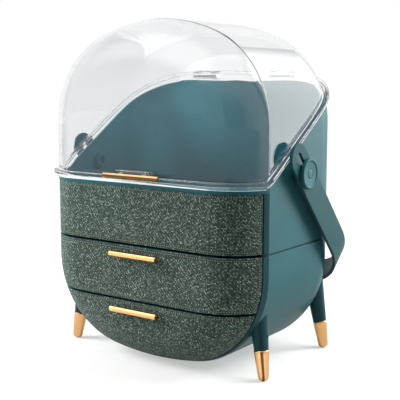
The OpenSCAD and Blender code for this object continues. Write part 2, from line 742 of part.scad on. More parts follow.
placed() lower_case();
placed() upper_case();
placed() upper_front_fabric();
placed() upper_drawer_front();
placed() upper_drawer_fabric();
placed() upper_drawer_tray();
placed() upper_drawer_handle();
placed() upper_handle_screws();
placed() lower_drawer_front();
placed() lower_drawer_fabric();
placed() lower_drawer_tray();
placed() lower_drawer_handle();
placed() lower_handle_screws();
placed() upper_runners();
placed() lower_runners();
placed() lid_shell();
placed() lid_handle();
placed() lid_handle_screws();
placed() lid_hinge_lugs();
placed() hinge_brackets();
placed() hinge_pins();
placed() hinge_screws();
placed() strap();
placed() strap_bushes();
placed() strap_nuts();
placed() strap_button_left();
placed() strap_button_right();
placed() strap_bearings();
placed() leg_front_left();
placed() leg_front_right();
placed() leg_back_left();
placed() leg_back_right();
placed() cap_front_left();
placed() cap_front_right();
placed() cap_back_left();
placed() cap_back_right();
placed() leg_screws();
placed() case_screws();
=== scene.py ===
# %% [markdown]
# # A domed make-up organizer
# The object is a pillow-shaped box on four splayed legs. A teal case holds two
# drawers with cloth fronts, a clear lid tips back over the open top compartment,
# and a strap swings and slides on two pivots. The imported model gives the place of
# every part and the body that carries it. It could be shown as it is, but its faces
# are plain. So each visible shell is made again here in the same frame, with smooth
# skin, soft edges and its finish. Legs, bars, hinges and screws are kept from it.

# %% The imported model
import json
import math

import bmesh
import bpy
from mathutils import Matrix, Vector

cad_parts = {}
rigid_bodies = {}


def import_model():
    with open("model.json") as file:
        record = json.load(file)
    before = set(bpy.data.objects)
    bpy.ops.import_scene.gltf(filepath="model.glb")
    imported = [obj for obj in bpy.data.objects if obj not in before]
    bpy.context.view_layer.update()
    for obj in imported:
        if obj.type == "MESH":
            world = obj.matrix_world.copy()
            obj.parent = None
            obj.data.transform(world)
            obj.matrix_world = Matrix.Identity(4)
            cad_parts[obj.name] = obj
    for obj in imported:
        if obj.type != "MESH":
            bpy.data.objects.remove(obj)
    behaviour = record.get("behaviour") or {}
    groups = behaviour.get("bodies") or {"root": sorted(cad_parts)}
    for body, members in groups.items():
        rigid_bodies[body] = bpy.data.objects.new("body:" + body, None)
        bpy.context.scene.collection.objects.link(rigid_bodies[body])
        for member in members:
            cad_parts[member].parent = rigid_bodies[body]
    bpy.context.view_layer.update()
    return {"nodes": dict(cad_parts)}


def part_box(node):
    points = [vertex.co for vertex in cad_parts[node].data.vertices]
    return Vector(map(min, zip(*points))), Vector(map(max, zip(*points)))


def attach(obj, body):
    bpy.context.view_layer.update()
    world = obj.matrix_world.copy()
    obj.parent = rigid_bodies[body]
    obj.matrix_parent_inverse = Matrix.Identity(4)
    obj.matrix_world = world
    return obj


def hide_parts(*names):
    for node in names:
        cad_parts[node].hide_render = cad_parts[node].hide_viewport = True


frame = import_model()

# %% [markdown]
# ## The form
# All shells share one form. Seen from the front it is an outline of arcs: two
# shoulders and a flat crown on top, two corners and a flat belly below. In depth
# the outline stays the same from the sharp edge of the arch to the back, then
# shrinks in a quarter circle; in front it rolls forward in a wider arc to a flat
# face. It could be a box under a subdivision modifier, but that would only come
# near these arcs. Here a few lengths give them all, and each arc runs smoothly
# into the next.

# %% Sizes of the form
MM = 0.001
body_w, body_depth = 280*MM, 157*MM
front_bulge, front_roll, back_round = 40*MM, 52*MM, 49*MM
body_top, ground_gap = 372*MM, 3*MM
side_r, arch_crown, belly_crown = 104*MM, 7*MM, 3*MM
crease_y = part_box("upper_case")[1].y - body_depth
back_y = crease_y + body_depth
print("body:", round(body_w/MM), "mm wide,", round((body_depth + front_bulge)/MM), "mm deep")

# %% [markdown]
# The arcs follow from those lengths. Each radius could be typed in as well, but then
# a change of one length would leave kinks. A flat arc that meets a side arc has to
# share its direction there, and that alone fixes the radius of the flat one.

# %% Arcs of the form
arch_z = body_top - arch_crown - side_r
belly_z = ground_gap + belly_crown + side_r
side_cx = body_w/2 - side_r
back_start = body_depth - back_round


def crown_radius(rise):
    """radius of the flat arc that joins the two side arcs smoothly"""
    return (side_cx**2 + rise**2 - side_r**2)/(2*(rise - side_r))


arch_r, belly_r = crown_radius(side_r + arch_crown), crown_radius(side_r + belly_crown)
arch_cz, belly_cz = body_top - arch_r, ground_gap + belly_r
arch_turn = math.atan2(arch_z - arch_cz, side_cx)
belly_turn = math.atan2(belly_cz - belly_z, side_cx)
roll_r = (front_bulge**2 + front_roll**2)/(2*front_bulge)
roll_cy = roll_r - front_bulge
print("arch springs at", round(arch_z/MM, 1), "mm, front roll radius", round(roll_r/MM, 1), "mm")

# %% [markdown]
# ## Distance and direction
# Every wall, rim and stitch on the real mouldings is set off straight out from the
# skin. A solidify modifier could do that along the mesh's normals, but it would
# miss the exact planes where the mouldings meet. So the form is also written as a
# rule. For any point it gives the direction straight out and the distance to the
# skin, and the parts nest like the moulded originals.

# %% Direction out of the outline
UP, BACK = Vector((0, 0, 1)), Vector((0, 1, 0))
outline_ends = (
    (arch_z, arch_cz, arch_r, arch_turn, 1),
    (belly_z, belly_cz, belly_r, belly_turn, -1))


def around(x, z):
    """direction out of the outline at (x, z), and how far inside it the point lies"""
    side = 1 if x >= 0 else -1
    for spring_z, crown_cz, crown_r, turn, way in outline_ends:
        rise = (z - spring_z)*way
        if rise > 0:
            u = abs(x) - side_cx
            if math.atan2(rise, u) <= turn:
                size = math.hypot(u, rise)
                return side*u/size, way*rise/size, side_r - size
            size = math.hypot(x, z - crown_cz)
            return x/size, (z - crown_cz)/size, crown_r - size
    return side, 0.0, body_w/2 - abs(x)


print("straight out of the shoulder:", [round(c, 2) for c in around(body_w/2, arch_z + side_r)[:2]])

# %% [markdown]
# Where the form rolls, straight out also leans to the front or the back. A ray could
# be shot at the mesh to find the distance, but that is only as fine as the grid; the
# arcs give it exactly. A second helper walks a point to a given distance while it
# stays on given planes, which every wall and rim that ends on a cut needs.

# %% Distance from the skin
settle_steps = 24


def out_of_form(p):
    """distance of a point outside the form, and the direction straight out"""
    nx, nz, inset = around(p.x, p.z)
    y = p.y - crease_y
    if y < 0:
        u, v, r, flat = front_roll - inset, y - roll_cy, roll_r, -1
    elif y > back_start:
        u, v, r, flat = back_round - inset, y - back_start, back_round, 1
    else:
        return -inset, Vector((nx, 0, nz))
    if u <= 0:
        return abs(v) - r, Vector((0, flat, 0))
    size = math.hypot(u, v)
    return size - r, Vector((nx*u, v, nz*u))/size


def settle(p, out, cuts):
    """the point near p that lies that far outside the form and on every cut"""
    for _ in range(settle_steps):
        gap, normal = out_of_form(p)
        p = p + normal*(out - gap)
        for co, no in cuts:
            p = p - no*(p - co).dot(no)
    return p


print("distance out at the crown:", round(out_of_form(Vector((0, crease_y, body_top)))[0]/MM, 3), "mm")

# %% [markdown]
# ## Skins
# A skin starts as a fine grid over the whole form, ring after ring. It could be
# modelled by hand and smoothed. Written out, every ring lies on the true arcs and
# its faces have four sides, which shade cleanly on a glossy shell. The first step
# is the outline that all the rings share.

# %% Outline
arc_steps, crown_steps = 26, 16
side_step = 6*MM


def spread(a, b, steps):
    """even steps from a to b, both included"""
    return [a + (b - a)*i/steps for i in range(steps + 1)]


def arc(cx, cz, r, a, b, steps):
    """points on a circle from angle a to angle b"""
    return [(cx + r*math.cos(t), cz + r*math.sin(t)) for t in spread(a, b, steps)]


def outline(inset):
    """front outline of the form, set in"""
    pi = math.pi
    r, x = side_r - inset, body_w/2 - inset
    side_line = spread(belly_z, arch_z, round((arch_z - belly_z)/side_step))[1:-1]
    return (
        arc(side_cx, arch_z, r, 0, arch_turn, arc_steps)
        + arc(0, arch_cz, arch_r - inset, arch_turn, pi - arch_turn, crown_steps)[1:-1]
        + arc(-side_cx, arch_z, r, pi - arch_turn, pi, arc_steps)
        + [(-x, z) for z in reversed(side_line)]
        + arc(-side_cx, belly_z, r, pi, pi + belly_turn, arc_steps)
        + arc(0, belly_cz, belly_r - inset, pi + belly_turn, 2*pi - belly_turn, crown_steps)[1:-1]
        + arc(side_cx, belly_z, r, 2*pi - belly_turn, 2*pi, arc_steps)
        + [(x, z) for z in side_line])


print("points round the outline:", len(outline(0)))

# %% [markdown]
# Each ring is the outline once more, set in and moved in depth. The rounds in front
# and at the back could be bevels on a straight body, but a bevel sweeps a quarter
# circle, and the front rolls in a wider arc. A pair of close rings beside the sharp
# edge keeps that edge crisp under smooth shading.

# %% Rings
roll_steps, round_steps, straight_steps = 20, 16, 12
hold, flat_ring = 1.5*MM, 15*MM


def roll_start(inset):
    """how far the front turns as it rolls, and the depth where that starts"""
    turn = math.asin((front_roll - inset)/(roll_r - inset))
    return turn, roll_cy - (roll_r - inset)*math.cos(turn)


def rings(inset):
    """(depth, inset) of each ring from the flat front to the flat back"""
    front, back = roll_r - inset, back_round - inset
    turn, start = roll_start(inset)
    return (
        [(roll_cy - front, front_roll + flat_ring), (roll_cy - front, front_roll + hold)]
        + [(roll_cy - front*math.cos(a), front_roll - front*math.sin(a)) for a in spread(0, turn, roll_steps)]
        + [(y, inset) for y in [start + hold/3] + spread(start + hold, back_start - hold, straight_steps)]
        + [(back_start + back*math.sin(a), back_round - back*math.cos(a))
           for a in spread(0, math.pi/2, round_steps)]
        + [(body_depth - inset, back_round + hold), (body_depth - inset, back_round + flat_ring)])


def form(inset):
    """the closed form as a grid of four-sided faces"""
    bm = bmesh.new()
    loops = [[bm.verts.new((x, crease_y + y, z)) for x, z in outline(d)] for y, d in rings(inset)]
    count = len(loops[0])
    for a, b in zip(loops, loops[1:]):
        for k in range(count):
            j = (k + 1) % count
            bm.faces.new((a[j], a[k], b[k], b[j]))
    bm.faces.new(loops[0])
    bm.faces.new(reversed(loops[-1]))
    return bm


trial = form(0)
print("grid of the form:", len(rings(0)), "rings,", len(trial.faces), "faces")
trial.free()

# %% [markdown]
# ## Cutting
# The mouldings end on flat planes: at the groove, the shelf, the lid's seat. A
# boolean modifier could cut them, but it leaves odd faces that show in the gloss.
# Bisecting splits the faces exactly on a plane and leaves the rest of the grid as
# it was. Then the unwanted faces go.

# %% Cutting
weld = 0.02*MM


def level(z):
    """a level plane, as a point on it and its normal"""
    return Vector((0, 0, z)), UP


def depth(y):
    """an upright plane across the depth"""
    return Vector((0, y, 0)), BACK


def cut(bm, *planes):
    """split the faces along planes"""
    for co, no in planes:
        everything = bm.verts[:] + bm.edges[:] + bm.faces[:]
        bmesh.ops.bisect_plane(bm, geom=everything, dist=weld, plane_co=co, plane_no=no)


def keep(bm, wanted):
    """drop the faces whose middle isn't wanted"""
    dropped = [f for f in bm.faces if not wanted(f.calc_center_median())]
    bmesh.ops.delete(bm, geom=dropped, context="FACES")


def trim(bm, co, no, dist=weld):
    """cut away what lies beyond a plane, and close the hole"""
    everything = bm.verts[:] + bm.edges[:] + bm.faces[:]
    bmesh.ops.bisect_plane(bm, geom=everything, dist=dist, plane_co=co, plane_no=no, clear_outer=True)
    bmesh.ops.holes_fill(bm, edges=[e for e in bm.edges if e.is_boundary])


trial = form(0)
cut(trial, level(arch_z))
keep(trial, lambda c: c.z > arch_z)
print("faces above the spring of the arch:", len(trial.faces))
trial.free()

# %% [markdown]
# ## Thickening
# A moulded shell has an even wall. Each point of the cut skin gets a partner
# straight inside it, and along the open edge the two are joined, either straight
# across or round a rim profile: steps out from the form and down from the cut. This
# takes the place of a solidify modifier, which can't follow a stepped rim.

# %% Thickening
on_plane = 0.05*MM


def thicken(bm, wall, cuts=(), rim=()):
    """close an open skin: an inner side at that depth, and a rim along its edges"""
    skin = bm.faces[:]
    edges = [loop for e in bm.edges if e.is_boundary for loop in e.link_loops]
    columns = {}
    for v in bm.verts[:]:
        gap, normal = out_of_form(v.co)
        points = []
        inside = v.co - normal*wall
        if v.is_boundary:
            held = [(co, no) for co, no in cuts if abs((v.co - co).dot(no)) < on_plane]
            inside = settle(v.co, gap - wall, held)
            for out, drop in rim:
                points.append(settle(v.co - UP*drop, out, [(co - UP*drop, no) for co, no in held]))
        columns[v] = [v] + [bm.verts.new(p) for p in points + [inside]]
    for f in skin:
        bm.faces.new([columns[v][-1] for v in reversed(f.verts)])
    for loop in edges:
        a, b = columns[loop.vert], columns[loop.link_loop_next.vert]
        for i in range(len(a) - 1):
            bm.faces.new((b[i], a[i], a[i + 1], b[i + 1]))


def shell(inset, wall, planes, wanted, rim=(), lines=()):
    """the wanted faces of a skin cut along planes, as thick as the wall; lines are only scored"""
    bm = form(inset)
    cut(bm, *planes, *lines)
    keep(bm, wanted)
    thicken(bm, wall, planes, rim)
    return bm


def block(inset, *sides):
    """the solid form between planes; each side is (point, direction that is cut away)"""
    bm = form(inset)
    for co, no in sides:
        trim(bm, co, no)
    return bm


trial = shell(0, 2*MM, [level(arch_z)], lambda c: c.z > arch_z)
print("open edges on a closed shell:", sum(e.is_boundary for e in trial.edges))
trial.free()

# %% [markdown]
# ## Finishes
# A finish is a small net of shader nodes: patterns go in, and colour, gloss and
# relief come out. Nodes can be laid out by hand in the shader editor. Written down,
# the same few helpers serve every finish. In add(), i0 is a node's first input and
# i1 its second; a plain value is filled in, and a socket is linked.

# %% Nodes
def new_material(name):
    """a material with its node tree and main shader"""
    mat = bpy.data.materials.new(name)
    mat.use_nodes = True
    tree = mat.node_tree
    return mat, tree, tree.nodes["Principled BSDF"]


def add(tree, kind, **values):
    """a new node with its settings and unlinked inputs filled in; sockets are linked"""
    node = tree.nodes.new(kind)
    for key, value in values.items():
        if hasattr(node, key):
            setattr(node, key, value)
            continue
        socket = node.inputs[int(key[1:])] if key[0] == "i" and key[1:].isdigit() else node.inputs[key]
        if isinstance(value, bpy.types.NodeSocket):
            tree.links.new(value, socket)
        else:
            socket.default_value = value
    return node


def sums(tree, operation, *terms):
    """one step of arithmetic on numbers or sockets"""
    values = {f"i{k}": term for k, term in enumerate(terms)}
    return add(tree, "ShaderNodeMath", operation=operation, **values).outputs[0]


def vectors(tree, operation, *terms, result=0):
    """one step of arithmetic on vectors or colours"""
    values = {f"i{k}": term for k, term in enumerate(terms)}
    return add(tree, "ShaderNodeVectorMath", operation=operation, **values).outputs[result]


def scaled(tree, vector, scale):
    """a vector or colour times a number"""
    return add(tree, "ShaderNodeVectorMath", operation="SCALE", i0=vector, i3=scale).outputs[0]


def between(tree, low, high, factor):
    """a number that runs from low to high as the factor runs from 0 to 1"""
    return add(tree, "ShaderNodeMapRange", Value=factor, **{"To Min": low, "To Max": high}).outputs[0]


trial, tree, shader = new_material("trial")
print("a new material starts with:", [node.name for node in tree.nodes])
bpy.data.materials.remove(trial)

# %% [markdown]
# Real surfaces are never quite even. A painted texture wrapped round the part could
# show that, but it needs unwrapping and blurs close up. Noise that is worked out at
# each point of the object has neither fault, and it stays put when a drawer moves.

# %% Patterns
def noise(tree, scale, detail=2.0, vector=None):
    """uneven values from 0 to 1; a larger scale makes them finer"""
    vector = vector or add(tree, "ShaderNodeTexCoord").outputs["Object"]
    return add(tree, "ShaderNodeTexNoise", Vector=vector, Scale=scale, Detail=detail).outputs["Fac"]


def ramp(tree, factor, *stops):
    """colours or greys along a factor; each stop is (place, colour)"""
    node = add(tree, "ShaderNodeValToRGB", Fac=factor)
    band = node.color_ramp
    while len(band.elements) < len(stops):
        band.elements.new(0.5)
    for element, (place, colour) in zip(band.elements, stops):
        element.position = place
        if isinstance(colour, (int, float)):
            colour = (colour, colour, colour)
        element.color = (*colour, 1.0)
    return node.outputs["Color"]


def mottled(tree, scale, detail, dark, light):
    """a colour that drifts between two close shades"""
    return ramp(tree, noise(tree, scale, detail), (0.3, dark), (0.7, light))


def bump(tree, shader, height, distance, strength=1.0):
    """relief in the shading: heights from 0 to 1 stand that far proud"""
    node = add(tree, "ShaderNodeBump", Strength=strength, Distance=distance, Height=height)
    tree.links.new(node.outputs["Normal"], shader.inputs["Normal"])


trial, tree, shader = new_material("trial")
bump(tree, shader, mottled(tree, 10.0, 2.0, 0.2, 0.8), 1*MM)
print("nodes for a bumpy trial:", len(tree.nodes))
bpy.data.materials.remove(trial)

# %% [markdown]
# The case is satin plastic from a spark-eroded mould. It has one colour with a
# faint mottling, an uneven gloss and a fine grain. The grain could be modelled, but
# it is far finer than any grid here, so bump only bends the light. One recipe
# serves all the mouldings: the strap is softer and duller and the trays are matt.
# A darker copy is painted shade: it darkens the legs under the belly, the rolled
# front edge, the groove and the gaps round the drawers.

# %% Moulded plastic
clouds, streaks, mould_grain = 14.0, 60.0, 2200.0


def plastic(name, dark, light, gloss_low, gloss_high, grain):
    """moulded plastic between two shades and two roughnesses, with a grain that deep"""
    mat, tree, shader = new_material(name)
    tree.links.new(mottled(tree, clouds, 3.0, dark, light), shader.inputs["Base Color"])
    uneven = between(tree, gloss_low, gloss_high, noise(tree, streaks, 4.0))
    tree.links.new(uneven, shader.inputs["Roughness"])
    bump(tree, shader, noise(tree, mould_grain, 1.0), grain, 0.2)
    shader.inputs["Specular IOR Level"].default_value = 0.2
    return mat


teal = plastic("teal_satin", (0.017, 0.101, 0.114), (0.022, 0.116, 0.130), 0.30, 0.42, 0.008*MM)
strap_teal = plastic("teal_soft", (0.009, 0.061, 0.070), (0.013, 0.073, 0.083), 0.42, 0.55, 0.015*MM)
tray_teal = plastic("teal_matt", (0.022, 0.096, 0.107), (0.028, 0.110, 0.122), 0.50, 0.62, 0.02*MM)
# a darker copy of the teal, used as painted shade
shaded_teal = plastic("teal_shaded", (0.003, 0.040, 0.049), (0.005, 0.050, 0.059), 0.30, 0.42, 0.008*MM)
print("plastics:", [mat.name for mat in (teal, strap_teal, tray_teal, shaded_teal)])

# %% [markdown]
# The cloth is a coarse twill of dark green yarn flecked with pale fibres. Each yarn
# could be a strand of its own, but there are tens of thousands of crossings. So the
# weave is drawn by nodes on coordinates that are laid flat over the rolled front, as
# the cloth itself is. A yarn is round across, and a diagonal count of crossings says
# which ones lie on top.

# %% Weave
thread = 1.4*MM
twill_repeat, twill_over, count_shift = 3.0, 1.5, 3000.0
under_height = 0.5


def weave(tree):
    """height of the yarns, the number of each crossing, and the cloth measured in threads"""
    laid = add(tree, "ShaderNodeAttribute", attribute_name="cloth").outputs["Vector"]
    in_threads = scaled(tree, laid, 1/thread)
    parts = add(tree, "ShaderNodeSeparateXYZ", Vector=in_threads)
    crossing, rounded = [], []
    for axis in ("X", "Y"):
        crossing.append(sums(tree, "FLOOR", parts.outputs[axis]))
        across = sums(tree, "FRACT", parts.outputs[axis])
        rounded.append(sums(tree, "SINE", sums(tree, "MULTIPLY", across, math.pi)))
    # the shift keeps the count above zero all over the cloth
    count = sums(tree, "ADD", sums(tree, "ADD", *crossing), count_shift)
    on_top = sums(tree, "LESS_THAN", sums(tree, "MODULO", count, twill_repeat), twill_over)
    height = sums(tree, "MULTIPLY", sums(tree, "MULTIPLY", *rounded),
                  sums(tree, "MULTIPLY_ADD", on_top, 1.0 - under_height, under_height))
    number = add(tree, "ShaderNodeCombineXYZ", X=crossing[0], Y=crossing[1]).outputs[0]
    return height, number, in_threads


print("yarns across the front:", round(body_w/thread))

# %% [markdown]
# Each crossing shows one yarn, from nearly black green to pale grey green. The colours
# could be painted on a texture, but that would repeat and blur close up. A random
# number for each crossing picks its yarn from a short scale of colours, most of them
# dark. Then painted shade darkens the dips and painted light lifts the yarn tops, and
# slow noise makes the cloth a little patchy.

# %% Yarn colours
yarn_scale = ((0.0, (0.024, 0.052, 0.038)), (0.5, (0.062, 0.104, 0.079)),
              (0.85, (0.155, 0.215, 0.176)), (1.0, (0.33, 0.41, 0.36)))
dip_shade, top_shade = 0.06, 2.3
fibre_grain, patch_grain = 4.0, 0.06


def yarn_colour(tree, height, number, in_threads):
    """dark yarn with pale flecks, painted shade in the dips and painted light on the tops, a little patchy"""
    pick = add(tree, "ShaderNodeTexWhiteNoise", Vector=number).outputs["Value"]
    fibres = between(tree, 0.8, 1.2, noise(tree, fibre_grain, 3.0, in_threads))
    patches = between(tree, 0.85, 1.15, noise(tree, patch_grain, 2.0, in_threads))
    shade = sums(tree, "MULTIPLY", between(tree, dip_shade, top_shade, height),
                 sums(tree, "MULTIPLY", fibres, patches))
    return scaled(tree, ramp(tree, pick, *yarn_scale), shade)


print("yarn colours:", len(yarn_scale), "on the scale, one picked for each crossing")

# %% [markdown]
# A row of short stitches runs just inside the cloth's edge and pulls it into a
# shallow groove. The stitches could be small meshes set along the edge. But each
# point of the cloth will know how far it lies from the nearest edge and how far
# along it, and then a few comparisons in the shader sew the whole seam.

# %% Seam
seam_in, seam_step = 2.6*MM, 2.7*MM
stitch_half, stitch_share, groove_half = 0.55*MM, 0.27, 1.0*MM


def seam(tree):
    """1 on each stitch, and 1 in the groove around the row of stitches"""
    place = add(tree, "ShaderNodeAttribute", attribute_name="seam").outputs["Vector"]
    run = add(tree, "ShaderNodeSeparateXYZ", Vector=place)
    off_row = sums(tree, "ABSOLUTE", sums(tree, "SUBTRACT", run.outputs["X"], seam_in))
    along = sums(tree, "FRACT", sums(tree, "DIVIDE", run.outputs["Y"], seam_step))
    off_middle = sums(tree, "ABSOLUTE", sums(tree, "SUBTRACT", along, 0.5))
    stitch = sums(tree, "MULTIPLY", sums(tree, "LESS_THAN", off_row, stitch_half),
                  sums(tree, "LESS_THAN", off_middle, stitch_share))
    return stitch, sums(tree, "LESS_THAN", off_row, groove_half)


def dyed_or_shaded(tree, colour, where, dye):
    """a colour, with another one where a mask is 1"""
    return add(tree, "ShaderNodeMix", data_type="RGBA", i0=where, i6=colour, i7=(*dye, 1)).outputs[2]


print("stitches round a cloth 60 mm high:", round(2*(body_w + 60*MM)/seam_step))

# %% [markdown]
# Yarn, groove and stitches now come together. The seam could have a material of its
# own, but the faces of the sheet don't follow it. Masks mix the stitches' pale thread
# and a painted shade for the groove into the one cloth, and the seam's heights are
# added to the weave's, so the stitches stand proud of the groove. The fibres' soft light at the edges is a
# little sheen.

# %% Woven cloth
# the groove's colour is painted shade; the stitches' colour is the thread's own
groove_shade, stitch_dye = (0.016, 0.034, 0.026), (0.24, 0.30, 0.25)
stitch_rise, groove_sink, yarn_relief = 1.2, 0.6, 0.35*MM


def woven():
    """the cloth: yarn, groove and stitches, with a soft sheen and relief"""
    mat, tree, shader = new_material("woven_green")
    height, number, in_threads = weave(tree)
    stitch, groove = seam(tree)
    colour = dyed_or_shaded(tree, yarn_colour(tree, height, number, in_threads), groove, groove_shade)
    tree.links.new(dyed_or_shaded(tree, colour, stitch, stitch_dye), shader.inputs["Base Color"])
    shader.inputs["Roughness"].default_value = 0.9
    shader.inputs["Specular IOR Level"].default_value = 0.2
    shader.inputs["Sheen Weight"].default_value = 0.15
    shader.inputs["Sheen Roughness"].default_value = 0.5
    sewn = sums(tree, "SUBTRACT", sums(tree, "MULTIPLY", stitch, stitch_rise),
                sums(tree, "MULTIPLY", groove, groove_sink))
    bump(tree, shader, sums(tree, "ADD", height, sewn), yarn_relief)
    return mat


cloth = woven()
print("cloth:", cloth.name, "with", len(cloth.node_tree.nodes), "nodes")

# %% [markdown]
# The bars and the caps are gold-plated: a warm metal with a soft polish and hardly
# visible lines from the buffing wheel. The hinge hardware is plain brushed steel.
# Brushed lines could be scratched into a painted texture. Noise that is squeezed
# along two axes and long along the third gives the same lines to the gloss and to
# the relief, and one recipe makes both metals.

# %% Metals
brush_lines, brush_relief = (60, 2500, 2500), 0.01*MM


def metal(name, dark, light, gloss_low, gloss_high):
    """brushed metal between two shades and two roughnesses"""
    mat, tree, shader = new_material(name)
    shader.inputs["Metallic"].default_value = 1.0
    tree.links.new(mottled(tree, 40.0, 3.0, dark, light), shader.inputs["Base Color"])
    drawn = vectors(tree, "MULTIPLY", add(tree, "ShaderNodeTexCoord").outputs["Object"], brush_lines)
    brushed = noise(tree, 1.0, 3.0, drawn)
    tree.links.new(between(tree, gloss_low, gloss_high, brushed), shader.inputs["Roughness"])
    bump(tree, shader, brushed, brush_relief, 0.4)
    return mat


gold = metal("gold_plated", (0.86, 0.47, 0.19), (0.94, 0.55, 0.25), 0.06, 0.13)
steel = metal("brushed_steel", (0.48, 0.49, 0.50), (0.60, 0.61, 0.62), 0.28, 0.42)
print("metals:", gold.name, steel.name)

# %% [markdown]
# The lid is clear polished plastic, moulded as one piece. A single see-through
# sheet would be simpler, but only a body with two sides bends light like the real
# one, and gathers it into bright double lines at the thick rim. Light on its way to
# the case could be bent too, which leaves grainy spots, so for lighting alone the
# lid is a plain tinted film. That keeps the compartment evenly lit.

# %% Clear plastic
acrylic_bend, haze, wave = 1.57, 9.0, 5.0


def clear_plastic():
    """clear plastic with faint waves, which lets light for the inside straight through"""
    mat, tree, shader = new_material("clear_acrylic")
    shader.inputs["Base Color"].default_value = (0.950, 0.955, 0.958, 1.0)
    shader.inputs["Transmission Weight"].default_value = 1.0
    shader.inputs["IOR"].default_value = acrylic_bend
    tree.links.new(between(tree, 0.01, 0.04, noise(tree, haze, 3.0)), shader.inputs["Roughness"])
    bump(tree, shader, noise(tree, wave, 2.0), 0.25*MM, 0.3)
    film = add(tree, "ShaderNodeBsdfTransparent", Color=(0.82, 0.91, 0.97, 1.0))
    rays = add(tree, "ShaderNodeLightPath").outputs
    only_light = sums(tree, "MAXIMUM", rays["Is Shadow Ray"], rays["Is Diffuse Ray"])
    mix = add(tree, "ShaderNodeMixShader", i0=only_light, i1=shader.outputs[0], i2=film.outputs[0])
    tree.links.new(mix.outputs[0], tree.nodes["Material Output"].inputs["Surface"])
    return mat


clear = clear_plastic()
print("clear plastic:", clear.name, "bends light by", acrylic_bend)

# %% [markdown]
# ## From skin to part
# A finished mesh becomes an object, and rides on the body that carries it. Moulded
# corners are never knife-sharp. They could be rounded face by face; a bevel modifier
# rounds every corner that is steeper than an angle, and smooth shading does the rest.

# %% Making a part
coincident = 0.002*MM


def round_corners(obj, width, corner):
    """a small round on every corner steeper than that many degrees"""
    bevel = obj.modifiers.new("edge", "BEVEL")
    bevel.width = width
    bevel.segments = 2
    bevel.limit_method = "ANGLE"
    bevel.angle_limit = math.radians(corner)
    bevel.harden_normals = True


def part(name, bm, body, finish, replaces=(), edge=0.5*MM, corner=35):
    """turn a mesh into a named object on its body"""
    bmesh.ops.remove_doubles(bm, verts=bm.verts[:], dist=coincident)
    bmesh.ops.recalc_face_normals(bm, faces=bm.faces[:])
    for e in bm.edges:
        e.smooth = e.calc_face_angle(0) < math.radians(corner)
    for f in bm.faces:
        f.smooth = True
    mesh = bpy.data.meshes.new(name)
    bm.to_mesh(mesh)
    bm.free()
    obj = bpy.data.objects.new(name, mesh)
    bpy.context.scene.collection.objects.link(obj)
    mesh.materials.append(finish)
    if edge:
        round_corners(obj, edge, corner)
    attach(obj, body)
    if replaces:
        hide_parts(*replaces)
    print(f"{name}: {len(mesh.polygons)} faces on {body}")
    return obj


# %% [markdown]
# ## The case
# The case is moulded in two bowls that meet at a fine groove. The upper one is cut by
# the lid's seat, level at the front and climbing to the back. Each height could be
# typed where it is used. Named once here, it moves everything that meets it: bowls,
# plates, drawers and lid.

# %% Sizes of the case
case_wall, front_wall, cloth_t = 3.5*MM, 3.5*MM, 1.2*MM
lower_top, floor_z = 133.3*MM, 135.3*MM
shelf_z0, shelf_z1 = 72.5*MM, 74.5*MM
rim_h, rim_angle = 200*MM, math.radians(33.6)
bend_y = crease_y - 6*MM
band_z, band_out = 196.5*MM, 0.5*MM
frame_y = crease_y - 6.8*MM
front_back_y = frame_y - 1.5*MM
seat_front = (Vector((0, bend_y, rim_h)), UP)
seat_side = (Vector((0, bend_y, rim_h)), Vector((0, -math.sin(rim_angle), math.cos(rim_angle))))


def seat(y):
    """height of the lid's seat"""
    return rim_h + max(0, y - bend_y)*math.tan(rim_angle)


print("lid seat:", round(rim_h/MM), "mm high in front,", round(seat(back_y)/MM), "mm at the back")

# %% [markdown]
# The upper bowl is one thin shell with its walls, shoulders and back. It could be a
# solid that is hollowed out; cutting the skin first and thickening it afterwards
# keeps the wall even. The edge that rolls in beside the cloth lies in shade, so the
# faces in front of the sharp edge get the darker plastic as painted shade.

# %% Upper bowl
crease_reach = 0.2*MM


def shade_front_edge(bowl):
    """paint shade on the faces in front of the sharp edge with the darker plastic"""
    bowl.data.materials.append(shaded_teal)
    for face in bowl.data.polygons:
        face.material_index = int(face.center.y < crease_y - crease_reach)


upper = shell(0, case_wall, [depth(frame_y), level(floor_z), seat_front, seat_side],
              lambda c: c.y > frame_y and floor_z < c.z < seat(c.y))
shade_front_edge(part("upper_case_shell", upper, "case", teal, ["upper_case"]))

# %% [markdown]
# Above the drawers the front is fixed. It is set in by the thickness of its cloth,
# and ends in a plain band under the lid. Bowl, front and band could be one mesh with
# steps worked in by hand. As shells of the same form at different insets they need no
# such work, and they meet as the mouldings do.

# %% Fixed front
front = shell(cloth_t, front_wall, [depth(frame_y), level(floor_z), level(band_z)],
              lambda c: c.y < frame_y and floor_z < c.z < band_z)
part("upper_case_front", front, "case", teal)
band = shell(-band_out, band_out + cloth_t + front_wall, [depth(crease_y), level(band_z), level(rim_h)],
             lambda c: c.y < crease_y and band_z < c.z < rim_h, lines=[depth(bend_y)])
part("case_band", band, "case", teal, edge=0.4*MM)

# %% [markdown]
# The floor of the compartment and the shelf between the drawers are plates that
# follow the inside of the bowls. Larger plates could be trimmed to fit. Here the
# width of the form at each depth is worked out, which draws the plate's plan, and
# the plan is raised into a plate with clean edges.

# %% Plan of a plate
plan_steps = 60


def half_width(inset, z):
    """half the width of the outline at a height, set in"""
    if z >= belly_z:
        return body_w/2 - inset
    return side_cx + math.sqrt((side_r - inset)**2 - (belly_z - z)**2)


def inset_at(y, wall):
    """how far the inside of a wall at that depth is set in from the widest outline"""
    y = y - crease_y
    if y < roll_start(wall)[1]:
        return front_roll - math.sqrt(max(0, (roll_r - wall)**2 - (roll_cy - y)**2))
    if y > back_start:
        return back_round - math.sqrt(max(0, (back_round - wall)**2 - (y - back_start)**2))
    return wall


